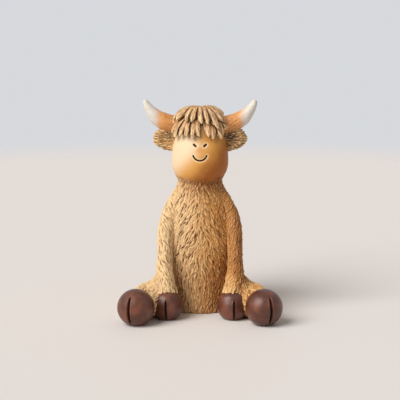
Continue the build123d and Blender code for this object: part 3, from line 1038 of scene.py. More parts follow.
        # Dry-brush cream on the ridges, with painted light added: more on the animal's right side, on upward faces and
        # low on the legs.
        brushed = 0.6 - carver.points[:, 0] / (45.0 * MM) + 0.3 * carver.normals[:, 2] + 0.6 * ankle
        carver.finish(0.28, furry, np.clip(brushed, 0.2, 1.0))
        level = (carver.points - np.array([0.0, *self.cuff_place[1:]])) @ unit(np.array(self.cuff_way))
        streaks = np.array([noise.noise(Vector(place / self.fray_patch)) for place in carver.points])
        cuff = smooth_step(self.cuff_edge[1], self.cuff_edge[0], level + 2.4 * MM * streaks) * np.isin(owner, legs)
        cuff *= 0.55 + 0.4 * streaks
        keep_value(coat, "ridge", np.maximum(point_value(coat, "ridge"), cuff))
        keep_value(coat, "fur", furry)
        # Painted shade, stored as shade.
        keep_value(coat, "shade", self.airbrush(carver.points, carver.normals, owner))
        # Painted light on the front of the animal's right side, stored as pale.
        front = smooth_step(*self.painted_light_front, carver.points[:, 1])
        keep_value(coat, "pale", self.painted_light_share * smooth_step(*self.painted_light_side, carver.points[:, 0]) * front)
        self.fray_cuffs(coat, level, np.isin(owner, legs))

    def fray_cuffs(self, coat: Piece, level: np.ndarray, leg: np.ndarray) -> None:
        """Draws the forelegs' lower edges out into uneven tips over the hooves.

        Args:
            coat: the carved coat.
            level: height of each point over the cuff's plane.
            leg: true on the forelegs.
        """
        places = points_of(coat)
        tips = np.array([abs(noise.noise(Vector(place / self.fray_patch))) for place in places])
        drop = self.fray_drop * np.clip(2.0 * tips, 0.0, 1.0) * smooth_step(2.2 * MM, 0.2 * MM, level) * leg
        places -= unit(np.array(self.cuff_way)) * drop[:, None]
        places[:, 2] = np.maximum(places[:, 2], 0.0)
        move_points(coat, places)

    def airbrush(self, places: np.ndarray, normals: np.ndarray, owner: np.ndarray) -> np.ndarray:
        """Painted shade: soft brown under the chin, in the creases, on the lower belly and on the front of the animal's
        left side.

        Args:
            places: the coat's points.
            normals: their outward directions.
            owner: number of the node at each point.

        Returns:
            The painted shade at each point, from 0 to 1.
        """
        # Painted shade in the creases, stronger on the animal's left side, which is turned from the light.
        crease = smooth_step(self.crease_reach, 0.0, self.seam_away) * smooth_step(54.0 * MM, 46.0 * MM, places[:, 2])
        away_from_light = smooth_step(-6.0 * MM, 6.0 * MM, places[:, 0])
        ahead = smooth_step(0.3, -0.5, normals[:, 1])
        # Painted shade under the chin, on the front, stronger towards the animal's left side.
        throat = smooth_step(*self.throat, places[:, 2]) * smooth_step(*self.chin_shade, places[:, 2]) * ahead
        throat *= 0.25 + 0.75 * smooth_step(-12.0 * MM, 2.0 * MM, places[:, 0])
        # Painted shade on the lower belly.
        belly = 0.4 * smooth_step(*self.belly, places[:, 2]) * ahead * (owner == 0)
        # Painted shade on the front of the animal's left side, between the ankles and the shoulders, but not on the
        # hind legs.
        level = smooth_step(58.0 * MM, 46.0 * MM, places[:, 2]) * smooth_step(13.0 * MM, 27.0 * MM, places[:, 2])
        hind = np.isin(owner, [self.nodes.index(f"hindleg_{side.word}") for side in Side])
        flank = smooth_step(self.flank[0], self.flank[1], places[:, 0]) * ahead * level * ~hind
        return np.maximum.reduce([(0.12 + 0.4 * away_from_light) * crease, throat, belly, 0.9 * flank])

    def cut_apart(self, coat: Piece, owner: np.ndarray) -> Dict[str, Piece]:
        """Cuts the coat into one closed piece per node.

        Args:
            coat: the carved coat.
            owner: number of the node at each point.

        Returns:
            The pieces by node.
        """
        corner = np.empty(len(coat.data.polygons), np.int32)
        coat.data.polygons.foreach_get("loop_start", corner)
        loops = np.empty(len(coat.data.loops), np.int32)
        coat.data.loops.foreach_get("vertex_index", loops)
        label = coat.data.attributes.new("owner", "INT", "FACE")
        label.data.foreach_set("value", owner[loops[corner]].astype(np.int32))
        pieces = {self.nodes[0]: coat}
        for number, node in enumerate(self.nodes[1:], start=1):
            labels = np.empty(len(coat.data.polygons), np.int32)
            coat.data.attributes["owner"].data.foreach_get("value", labels)
            select_only(coat, Pick.FACES, labels == number)
            with editing(coat, Pick.FACES):
                bpy.ops.mesh.separate(type="SELECTED")
            pieces[node] = next(o for o in bpy.context.selected_objects if o != coat)
            pieces[node].name = f"coat_{node}"
        for piece in pieces.values():
            close_holes(piece)
        return pieces

    def build(self) -> Dict[str, Piece]:
        """The furred pieces, carved but not painted, by node."""
        coat = self.fuse()
        owner = self.owners(coat)
        self.square_shoulders(coat, owner)
        self.slim_haunches(coat, owner)
        self.soften_seams(coat, owner)
        self.carve(coat, owner)
        return self.cut_apart(coat, owner)


@dataclass
class Face:
    """Smile and nostrils, engraved in the smooth face and inked."""

    head: HeadPlace
    mouth_rise: float = 3.7 * MM
    mouth_radius: float = 3.3 * MM
    mouth_sweep: float = 146.0
    mouth_line: float = 0.42 * MM
    nostril_rise: float = 7.5 * MM
    nostril_out: float = 2.4 * MM
    nostril_length: float = 1.3 * MM
    nostril_slant: float = 42.0
    nostril_line: float = 0.5 * MM
    depth: float = 0.45 * MM
    fill_reach: float = 1.6 * MM
    fill_rounds: int = 60
    finer_reach: float = 1.1 * MM
    finer_cuts: int = 3
    # Strength of the painted highlight round the engraved lines.
    line_highlight_share: float = 0.55
    brow: Tuple[float, float, float, float] = (0.0 * MM, 9.0 * MM, 13.0 * MM, 18.0 * MM)
    brow_swell: float = 0.7 * MM
    brow_half: float = 11.0 * MM
    # Painted shade across the face, darker down and towards the animal's left cheek, and the chin's warm airbrushing,
    # stronger on that shaded side.
    blush_and_shade: Span = (15.5 * MM, -13.5 * MM)
    shade_slant: float = 1.0
    chin: Span = (-2.0 * MM, -10.5 * MM)
    chin_side: Span = (-13.0 * MM, 4.0 * MM)
    forehead: Span = (6.0 * MM, 10.0 * MM)
    forehead_side: Span = (-5.0 * MM, 1.5 * MM)
    forehead_end: Span = (9.0 * MM, 3.0 * MM)
    forehead_share: float = 0.36
    nose: Span = (2.7 * MM, 2.3 * MM)
    nose_rise: float = 5.3 * MM
    snout_share: float = 0.6
    # Reach of the painted shadow that the hair casts on the face.
    shadow_reach: Span = (0.3 * MM, 1.2 * MM)
    shadow: float = 3.2 * MM
    shadow_share: float = 0.4

    def mouth(self) -> np.ndarray:
        """Places along the smile."""
        turns = np.radians(np.linspace(-90 - self.mouth_sweep / 2, -90 + self.mouth_sweep / 2, 60))
        return np.array([self.head.front(self.mouth_radius * math.cos(t),
                                         self.mouth_rise + self.mouth_radius * math.sin(t)) for t in turns])

    def nostril(self, side: Side) -> np.ndarray:
        """Places along one nostril."""
        slant = math.radians(self.nostril_slant)
        runs = np.linspace(-0.5, 0.5, 16) * self.nostril_length
        return np.array([self.head.front(side.value * (self.nostril_out + run * math.cos(slant)),
                                         self.nostril_rise + run * math.sin(slant)) for run in runs])

    def fill_cuts(self, piece: Piece) -> None:
        """Evens out the coarse cuts, so that fine ones can be made in their place."""
        every = np.concatenate([self.mouth(), *(self.nostril(side) for side in Side)])
        weight = smooth_step(self.fill_reach, 0.6 * self.fill_reach, nearness(points_of(piece), every))
        group = piece.vertex_groups.new(name="cuts")
        for number in np.nonzero(weight > 0.01)[0]:
            group.add([int(number)], float(weight[number]), "REPLACE")
        finish_with(piece, "SMOOTH", factor=0.5, iterations=self.fill_rounds, vertex_group=group.name)
        piece.vertex_groups.clear()
        bpy.context.view_layer.update()
        self.head.shell = BVHTree.FromObject(piece, bpy.context.evaluated_depsgraph_get())

    def widen_brow(self, piece: Piece) -> None:
        """Fills the head out at the sides, between the cheeks and the fringe."""
        points = points_of(piece)
        spot = self.head.local(points)
        level = smooth_step(self.brow[0], self.brow[1], spot[:, 2]) * smooth_step(self.brow[3], self.brow[2], spot[:, 2])
        points[:, 0] += self.brow_swell * level * np.clip(spot[:, 0] / self.brow_half, -1.0, 1.0)
        move_points(piece, points)

    def engrave(self, piece: Piece) -> None:
        """Cuts the lines into the head and stores the ink, the painted highlight round the lines, and the face's warm
        tones and painted shade.
        """
        self.fill_cuts(piece)
        self.widen_brow(piece)
        lines = [(self.mouth(), self.mouth_line)]
        lines += [(self.nostril(side), self.nostril_line) for side in Side]
        every = np.concatenate([places for places, _ in lines])
        near = nearness(points_of(piece), every) < self.finer_reach
        select_only(piece, Pick.POINTS, near)
        with editing(piece):
            bpy.ops.mesh.subdivide(number_cuts=self.finer_cuts, smoothness=0.0)
        points, normals = points_of(piece), normals_of(piece)
        ink, rim = np.zeros(len(points)), np.zeros(len(points))
        for places, line in lines:
            away = nearness(points, places)
            ink = np.maximum(ink, smooth_step(line * 1.15, line * 0.7, away))
            # Painted highlight: a cream ring round each inked line.
            rim = np.maximum(rim, smooth_step(line * 2.8, line * 1.6, away))
        move_points(piece, points - normals * (ink * self.depth)[:, None])
        keep_value(piece, "ink", ink)
        keep_value(piece, "rim", self.line_highlight_share * rim)
        self.spray(piece)

    def spray(self, piece: Piece) -> None:
        """Stores the chin's warm airbrushing and the painted shade that darkens the face towards the animal's left
        cheek and the chin, and the snout's patch.
        """
        spot = self.head.local(points_of(piece))
        # Painted shade that falls from the animal's upper right of the face to its lower left.
        fall = spot[:, 2] - self.shade_slant * spot[:, 0]
        slope = smooth_step(self.blush_and_shade[0], self.blush_and_shade[1], fall)
        chin = smooth_step(*self.chin, spot[:, 2]) * smooth_step(*self.chin_side, spot[:, 0])
        brow = smooth_step(*self.forehead, spot[:, 2]) * smooth_step(*self.forehead_side, spot[:, 0])
        brow *= smooth_step(*self.forehead_end, spot[:, 0])
        slope += self.forehead_share * brow * (1.0 - slope)
        keep_value(piece, "blush_and_shade", np.maximum(slope, chin))
        nose = np.hypot(spot[:, 0] / self.nose[0], (spot[:, 2] - self.nose_rise) / self.nose[1])
        keep_value(piece, "snout", self.snout_share * smooth_step(1.0, 0.3, nose) * (spot[:, 1] < 0))

    def shade_under_hair(self, piece: Piece, covers: Sequence[Piece]) -> None:
        """Painted shadow: darkens the face close under the hair, and more softly further out.

        Args:
            piece: the head.
            covers: the pieces over it.
        """
        # Painted shadow, dark close to the hair and softer further out.
        away = nearness(points_of(piece), np.concatenate([points_of(hair_shadow) for hair_shadow in covers]))
        close = smooth_step(self.shadow_reach[1], self.shadow_reach[0], away)
        keep_value(piece, "hair_shadow", np.maximum(close, self.shadow_share * smooth_step(self.shadow, 0.0, away)))


@dataclass(frozen=True)
class LockRow:
    """One row of locks: how many, where they lie on the head, and their sizes."""

    node: str
    count: int
    middle: float
    spread: float
    polar: Span
    side_rise: float
    gather: float
    width: float
    thickness: float
    lift: Span
    side_lift: float


@dataclass
class Fringe:
    """The hair on the head: three rows of chunky locks that fan out from the crown."""

    head: HeadPlace
    grain: float = 0.24 * MM
    rows: Tuple[LockRow, ...] = (
        LockRow("fringe_lower", 13, 0.0, 88.0, (38.0, 97.0), 22.0, 0.94, 4.2 * MM, 3.2 * MM, (1.0 * MM, 1.8 * MM),
                2.2 * MM),
        LockRow("fringe_upper", 11, 0.0, 90.0, (-4.0, 63.0), 6.0, 0.8, 4.6 * MM, 3.4 * MM, (2.0 * MM, 4.4 * MM),
                0.3 * MM),
        LockRow("fringe_crown", 10, 180.0, 88.0, (-9.0, 80.0), 4.0, 0.9, 5.4 * MM, 4.0 * MM, (1.8 * MM, 2.0 * MM),
                0.8 * MM),
    )
    steps: int = 9
    sway: float = 3.3
    uneven: float = 5.0
    parting: Span = (0.62 * MM, 0.05 * MM)
    parting_depth: float = 0.7 * MM
    crowded: Span = (1.3 * MM, 3.0 * MM)
    # Reach of the painted shade on the lower row under the upper row.
    shadow_reach: Span = (0.2 * MM, 1.3 * MM)
    strands: Stroke = Stroke(1.1 * MM, (2.2 * MM, 4.6 * MM), (0.24 * MM, 0.36 * MM), (-0.24 * MM, -0.1 * MM),
                             (0.0, 0.6), 4.0, 3.0, 0.02)

    def master(self) -> Piece:
        """One plump lock, from 0 to 1 along Y and one unit to each side, modelled once for all rows."""
        bpy.ops.object.select_all(action="DESELECT")
        bpy.ops.mesh.primitive_uv_sphere_add(segments=20, ring_count=18, radius=1.0)
        piece = bpy.context.active_object
        piece.name = "lock_master"
        with editing(piece):
            bpy.ops.mesh.select_all(action="SELECT")
            bpy.ops.transform.rotate(value=math.pi / 2, orient_axis="X", center_override=(0, 0, 0))
            bpy.ops.transform.resize(value=(1.0, 0.5, 1.0))
            bpy.ops.transform.translate(value=(0.0, 0.5, 0.0))
        return piece

    def path(self, row: LockRow, share: float, random: np.random.Generator) -> Tuple[np.ndarray, np.ndarray]:
        """Places and outward directions along one lock.

        Args:
            row: its row.
            share: its place in the row, from -1 to 1.
            random: draws its small differences.

        Returns:
            The places and the directions.
        """
        draw = random.normal(size=3)
        tip = row.middle + share * row.spread + self.sway * draw[0]
        root = row.middle + share * row.spread * row.gather + self.sway * draw[1]
        end = row.polar[1] - row.side_rise * share ** 2 + self.uneven * draw[2]
        places, outs = [], []
        for run in np.linspace(0.0, 1.0, self.steps):
            azimuth = root + (tip - root) * run + 1.5 * self.sway * draw[1] * math.sin(math.pi * run)
            spot, out = self.head.scalp(azimuth, row.polar[0] + (end - row.polar[0]) * run)
            lift = row.lift[0] + (row.lift[1] - row.lift[0]) * run + row.side_lift * abs(share) * run
            places.append(spot + out * lift)
            outs.append(out)
        return np.array(places), np.array(outs)

    def lay(self, master: Piece, row: LockRow, path: np.ndarray, outs: np.ndarray, plump: float) -> Piece:
        """A copy of the master lock laid along a path.

        Args:
            master: the plump lock.
            row: its row's sizes.
            path: places along it.
            outs: outward directions along it.
            plump: how wide it is for its row.

        Returns:
            The laid lock.
        """
        piece = master.copy()
        piece.data = master.data.copy()
        bpy.context.scene.collection.objects.link(piece)
        shape = points_of(piece)
        run = np.clip(shape[:, 1], 0.0, 1.0)
        full = (1.0 - np.abs(2.0 * run - 1.0) ** 3.2) ** 0.5 / np.maximum(np.sqrt(1.0 - (2.0 * run - 1.0) ** 2), 1e-3)
        wide = full * np.interp(run, [0.0, 0.3, 0.6, 0.82, 1.0], [0.6, 0.9, 1.0, 0.74, 0.3])
        deep = full * np.interp(run, [0.0, 0.3, 0.6, 0.85, 1.0], [0.7, 0.95, 1.0, 0.85, 0.4])
        steps = np.linspace(0.0, 1.0, len(path))
        middle = np.stack([np.interp(run, steps, path[:, axis]) for axis in range(3)], axis=1)
        out = unit(np.stack([np.interp(run, steps, outs[:, axis]) for axis in range(3)], axis=1))
        slope = np.gradient(path, steps, axis=0)
        along = unit(np.stack([np.interp(run, steps, slope[:, axis]) for axis in range(3)], axis=1))
        across = unit(np.cross(along, out))
        aside = across * (shape[:, 0] * wide * plump * row.width / 2)[:, None]
        move_points(piece, middle + aside + out * (shape[:, 2] * deep * row.thickness / 2)[:, None])
        return piece

    def part_locks(self, carver: Carver, paths: Sequence[np.ndarray]) -> None:
        """Cuts a deep, dark parting between neighbouring locks.

        Args:
            carver: the row's carver.
            paths: places along each lock.
        """
        steps, fine = np.linspace(0.0, 1.0, self.steps), np.linspace(0.0, 1.0, 4 * self.steps)
        away, nearest = [], []
        for path in paths:
            line = np.stack([np.interp(fine, steps, path[:, axis]) for axis in range(3)], axis=1)
            gaps = np.linalg.norm(carver.points[:, None] - line[None], axis=2)
            away.append(np.min(gaps, axis=1))
            nearest.append(line[np.argmin(gaps, axis=1)])
        away, nearest = np.stack(away, axis=1), np.stack(nearest, axis=1)
        rows = np.arange(len(away))
        first, second = np.argsort(away, axis=1)[:, :2].T
        apart = np.linalg.norm(nearest[rows, first] - nearest[rows, second], axis=1)
        border = (away[rows, second] ** 2 - away[rows, first] ** 2) / (2.0 * np.maximum(apart, WELD))
        cut = smooth_step(*self.parting, border) * smooth_step(*self.crowded, apart)
        carver.lift -= self.parting_depth * cut
        carver.wash = np.maximum(carver.wash, cut)

    def row(self, master: Piece, row: LockRow, seed: int) -> Piece:
        """One whole row, cast as a single skin and cut with fine strands."""
        random = np.random.default_rng(seed)
        locks, spots, ways = [], [], []
        for share in np.linspace(-1.0, 1.0, row.count):
            path, outs = self.path(row, share, random)
            locks.append(self.lay(master, row, path, outs, random.uniform(0.88, 1.14)))
            spots.append(path)
            ways.append(np.gradient(path, axis=0))
        piece = join(locks, f"hair_{row.node}")
        with editing(piece):
            bpy.ops.mesh.select_all(action="SELECT")
            bpy.ops.mesh.normals_make_consistent(inside=False)
        cast_skin(piece, self.grain)
        finish_with(piece, "SMOOTH", factor=0.5, iterations=3)
        tree = tree_of(np.concatenate(spots))
        way = unit(np.concatenate(ways))
        carver = Carver(piece, seed, hollow_rounds=30, hollow_depth=0.26 * MM)
        headings = np.array([way[tree.find(place)[1]] for place in carver.points])
        carver.mark(self.strands, headings, np.ones(len(headings)))
        self.part_locks(carver, spots)
        carver.finish(0.8, np.ones(len(headings)))
        return piece

    def build(self) -> Dict[str, Piece]:
        """The rows by node."""
        master = self.master()
        rows = {row.node: self.row(master, row, 31 + number) for number, row in enumerate(self.rows)}
        bpy.data.objects.remove(master)
        # Painted shade on the lower row where the upper row lies close over it.
        lower, upper = rows["fringe_lower"], rows["fringe_upper"]
        away = nearness(points_of(lower), points_of(upper))
        keep_value(lower, "wash", np.maximum(point_value(lower, "wash"), smooth_step(*self.shadow_reach[::-1], away)))
        return rows


@dataclass
class Ears:
    """Both ears: cupped in front, with hair lines that run from the head to a tufted rim."""

    head: HeadPlace
    grain: float = 0.24 * MM
    root: Tuple[float, float, float] = (10.0 * MM, 0.0, 10.4 * MM)
    broad: Span = (11.0 * MM, 17.0 * MM)
    broad_share: float = 0.3
    hollow: Tuple[float, float] = (14.3 * MM, 11.4 * MM)
    hollow_size: Span = (3.4 * MM, 2.6 * MM)
    hollow_depth: float = 0.5 * MM
    # How dark the cup is, and how dark the whole ear is at least, right ear then left; the left ear's higher values are
    # painted shade.
    hollow_share: Span = (0.25, 1.0)
    cup_shade_least: Span = (0.0, 0.3)
    tufts: Stroke = Stroke(1.8 * MM, (3.4 * MM, 5.4 * MM), (0.6 * MM, 0.95 * MM), (0.25 * MM, 0.55 * MM),
                           (0.0, 0.0), 6.0, 6.0)
    hairs: Stroke = Stroke(1.1 * MM, (2.6 * MM, 5.0 * MM), (0.22 * MM, 0.34 * MM), (-0.3 * MM, -0.12 * MM),
                           (0.05, 0.7), 7.0, 8.0)

    def broaden(self, piece: Piece) -> None:
        """Rounds the ear's outer end out upwards, to a broad leaf."""
        points = points_of(piece)
        middle = self.head.place(np.array([[0.0, 0.0, self.root[2]]]))[0][2]
        above = np.maximum(points[:, 2] - middle, 0.0)
        points[:, 2] += self.broad_share * above * smooth_step(*self.broad, np.abs(points[:, 0]))
        move_points(piece, points)

    def build(self, side: Side) -> Piece:
        """One ear."""
        node = f"ear_{side.word}"
        piece = copy_node(node, f"ear_shell_{side.word}")
        cast_skin(piece, self.grain)
        self.broaden(piece)
        finish_with(piece, "SMOOTH", factor=0.5, iterations=4)
        carver = Carver(piece, seed=51 + side.value, hollow_depth=0.14 * MM)
        root = self.head.place(np.array([[side.value * self.root[0], self.root[1], self.root[2]]]))[0]
        headings = unit(carver.points - root)
        every = np.ones(len(headings))
        carver.mark(self.tufts, headings, every)
        carver.mark(self.hairs, headings, every)
        spot = self.head.local(carver.points)
        ahead = smooth_step(0.1, 0.5, carver.normals @ self.head.turned(np.array([[0.0, -1.0, 0.0]]))[0])
        round_ = np.hypot((side.value * spot[:, 0] - self.hollow[0]) / self.hollow_size[0],
                          (spot[:, 2] - self.hollow[1]) / self.hollow_size[1])
        cup = ahead * smooth_step(1.5, 0.3, round_)
        carver.lift -= self.hollow_depth * cup
        # Painted shade on the ear on the animal's left, which is turned from the light.
        dark = side is Side.LEFT
        keep_value(piece, "cup", np.maximum(cup * self.hollow_share[dark], self.cup_shade_least[dark]))
        carver.finish(0.5, every)
        return piece


@dataclass
class Horns:
    """Both horns: blunt, bowed up and out, with a few hair lines at the root."""

    head: HeadPlace
    grain: float = 0.26 * MM
    bow_out: Tuple[float, ...] = (6.0 * MM, 12.0 * MM, 17.0 * MM, 21.0 * MM, 25.0 * MM, 27.6 * MM)
    bow_sag: Tuple[float, ...] = (0.0 * MM, 1.0 * MM, 1.9 * MM, 1.9 * MM, 0.9 * MM, 0.0 * MM)
    bow_swell: Tuple[float, ...] = (0.0 * MM, 0.0 * MM, 0.3 * MM, 0.6 * MM, 0.45 * MM, 0.0 * MM)
    bow_slope: float = 42.0
    root: Span = (22.4 * MM, 17.6 * MM)
    hair: Span = (18.5 * MM, 15.5 * MM)
    lines: Stroke = Stroke(1.0 * MM, (2.0 * MM, 3.6 * MM), (0.26 * MM, 0.4 * MM), (-0.24 * MM, -0.1 * MM),
                           (0.2, 0.6), 8.0, 8.0)

    def bow(self, piece: Piece, side: Side) -> None:
        """Bows the horn out and down between its root and its tip, so that the tip turns up."""
        points = points_of(piece)
        out = np.abs(points[:, 0])
        sag = np.interp(out, self.bow_out, self.bow_sag)
        points[:, 0] += side.value * math.cos(math.radians(self.bow_slope)) * sag
        points[:, 2] -= math.sin(math.radians(self.bow_slope)) * sag
        points += normals_of(piece) * np.interp(out, self.bow_out, self.bow_swell)[:, None]
        move_points(piece, points)

    def build(self, side: Side) -> Piece:
        """One horn."""
        piece = copy_node(f"horn_{side.word}", f"horn_shell_{side.word}")
        cast_skin(piece, self.grain)
        self.bow(piece, side)
        finish_with(piece, "SMOOTH", factor=0.5, iterations=8)
        carver = Carver(piece, seed=71 + side.value)
        out = np.abs(carver.points[:, 0])
        furry = smooth_step(self.hair[0], self.hair[1], out)
        carver.mark(self.lines, np.tile([side.value, 0.0, 0.4], (len(out), 1)), furry)
        carver.finish(0.4, furry)
        wander = np.array([noise.noise(Vector(place / (2.2 * MM))) for place in carver.points])
        keep_value(piece, "root", smooth_step(self.root[0], self.root[1], out + 1.2 * MM * wander))
        return piece


@dataclass
class Hooves:
    """The four hooves: round, cloven and satin."""

    grain: float = 0.24 * MM
    even_rounds: int = 3
    centres: Dict[str, Tuple[float, float, float]] = field(default_factory=lambda: {
        "forehoof": (15.1 * MM, -27.0 * MM, 6.2 * MM), "hindhoof": (29.3 * MM, -37.8 * MM, 8.0 * MM)})
    radii: Dict[str, float] = field(default_factory=lambda: {"forehoof": 6.8 * MM, "hindhoof": 8.6 * MM})
    turns: Dict[str, float] = field(default_factory=lambda: {"forehoof": 6.0, "hindhoof": 22.0})
    halves: Dict[str, float] = field(default_factory=lambda: {"forehoof": 0.6 * MM, "hindhoof": 0.85 * MM})
    reaches: Dict[str, float] = field(default_factory=lambda: {"forehoof": 0.72, "hindhoof": 0.8})
    drops: Dict[str, float] = field(default_factory=lambda: {"forehoof": 0.9 * MM, "hindhoof": 0.2 * MM})
    fill_half: float = 1.8 * MM
    fill_low: float = -0.8
    cleft_depth: float = 1.7 * MM
    cleft_lip: float = 0.16 * MM
    fore_way: Tuple[float, float, float] = (0.0, 0.36, 0.93)
    fore_power: float = 3.0
    fore_swell: float = 0.45 * MM
    fore_cuff: Span = (0.8, 0.3)

    def square_up(self, piece: Piece, side: Side) -> None:
        """Fills a forehoof out towards its cuff, from a ball to a rounded block."""
        away = points_of(piece) - self.centre("forehoof", side)
        radius, way = self.radii["forehoof"], unit(np.array(self.fore_way))
        rise = away @ way
        reach = np.clip(rise / radius, 0.0, 0.96)
        fuller = (1.0 - reach ** self.fore_power) ** (1.0 / self.fore_power) / np.sqrt(1.0 - reach ** 2)
        out = away - rise[:, None] * way
        ball = rise < 0.96 * radius
        grown = self.fore_swell * smooth_step(*self.fore_cuff, rise / radius)
        moved = out * (np.where(ball, fuller, 1.0) - 1.0)[:, None] + unit(away) * grown[:, None]
        move_points(piece, points_of(piece) + moved)

    def centre(self, pair: str, side: Side) -> np.ndarray:
        """Middle of one hoof's ball."""
        across, forward, height = self.centres[pair]
        return np.array([side.value * across, forward, height])

    def across_cleft(self, piece: Piece, pair: str, side: Side) -> Tuple[np.ndarray, np.ndarray, np.ndarray]:
        """How each point lies about a hoof's cleft.

        Args:
            piece: the hoof.
            pair: forehoof or hindhoof.
            side: left or right.

        Returns:
            The way from the ball's middle, how far ahead of it, and how far aside of the cleft.
        """
        away = points_of(piece) - self.centre(pair, side)
        turn = math.radians(self.turns[pair]) * side.value
        ahead = away @ np.array([math.sin(turn), -math.cos(turn), 0.0])
        return away, ahead, away @ np.array([math.cos(turn), math.sin(turn), 0.0])

    def fill_slot(self, piece: Piece, pair: str, side: Side) -> None:
        """Fills the plain slot up to the ball, so that a finer cleft can be cut."""
        away, ahead, aside = self.across_cleft(piece, pair, side)
        radius = self.radii[pair]
        slot = (ahead > 0.0) & (np.abs(aside) < self.fill_half) & (away[:, 2] > self.fill_low * radius)
        short = np.where(slot, radius - np.linalg.norm(away, axis=1), 0.0)
        move_points(piece, points_of(piece) + unit(away) * short[:, None])

    def cleave(self, piece: Piece, pair: str, side: Side) -> np.ndarray:
        """Opens the cleft to a lens with soft lips.

        Args:
            piece: the hoof.
            pair: forehoof or hindhoof.
            side: left or right.

        Returns:
            How deep in the cleft each point is, from 0 to 1.
        """
        away, ahead, aside = self.across_cleft(piece, pair, side)
        rise = (away[:, 2] + self.drops[pair]) / (self.reaches[pair] * self.radii[pair])
        half = self.halves[pair] * np.sqrt(np.clip(1.0 - rise ** 2, 0.02, 1.0))
        open_ = (ahead > 0.0) * smooth_step(1.0, 0.8, np.abs(rise))
        cut = smooth_step(1.0, 0.15, np.abs(aside) / half) * open_
        lip = smooth_step(1.0, 1.4, np.abs(aside) / half) * smooth_step(2.6, 1.6, np.abs(aside) / half) * open_
        reach = np.linalg.norm(away, axis=1)
        wanted = self.radii[pair] - self.cleft_depth * cut
        moved = np.where(cut > 0.0, np.minimum(reach, wanted), reach) + self.cleft_lip * lip
        move_points(piece, points_of(piece) + unit(away) * (moved - reach)[:, None])
        return cut

    def build(self, pair: str, side: Side) -> Piece:
        """One hoof.

        Args:
            pair: forehoof or hindhoof.
            side: left or right.

        Returns:
            The hoof.
        """
        piece = copy_node(f"{pair}_{side.word}", f"{pair}_shell_{side.word}")
        cast_skin(piece, self.grain)
        self.fill_slot(piece, pair, side)
        cast_skin(piece, self.grain)
        finish_with(piece, "SMOOTH", factor=0.5, iterations=self.even_rounds)
        cut = self.cleave(piece, pair, side)
        if pair == "forehoof":
            self.square_up(piece, side)
        carver = Carver(piece, seed=91, even_rounds=12, hollow_rounds=24, hollow_depth=0.3 * MM)
        carver.finish(0.9, np.ones(len(carver.points)))
        keep_value(piece, "wash", np.maximum(point_value(piece, "wash"), 0.85 * cut))
        return piece


@dataclass
class TailTuft:
    """The tuft at the tail's end, cut with hair lines."""

    grain: float = 0.24 * MM
    hairs: Stroke = Stroke(1.0 * MM, (2.4 * MM, 4.6 * MM), (0.28 * MM, 0.42 * MM), (-0.4 * MM, -0.2 * MM),
                           (0.3, 0.8), 6.0, 6.0)

    def build(self) -> Piece:
        """The tuft."""
        piece = copy_node("tail_tuft", "hair_tail_tuft")
        cast_skin(piece, self.grain)
        finish_with(piece, "SMOOTH", factor=0.5, iterations=4)
        carver = Carver(piece, seed=101)
        low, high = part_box("tail_tuft")
        start = np.array(((low.x + high.x) / 2 - 0.4 * (high.x - low.x), high.y, high.z))
        headings = unit(carver.points - start)
        carver.mark(self.hairs, headings, np.ones(len(headings)))
        carver.finish(0.8, np.ones(len(headings)))
        return piece


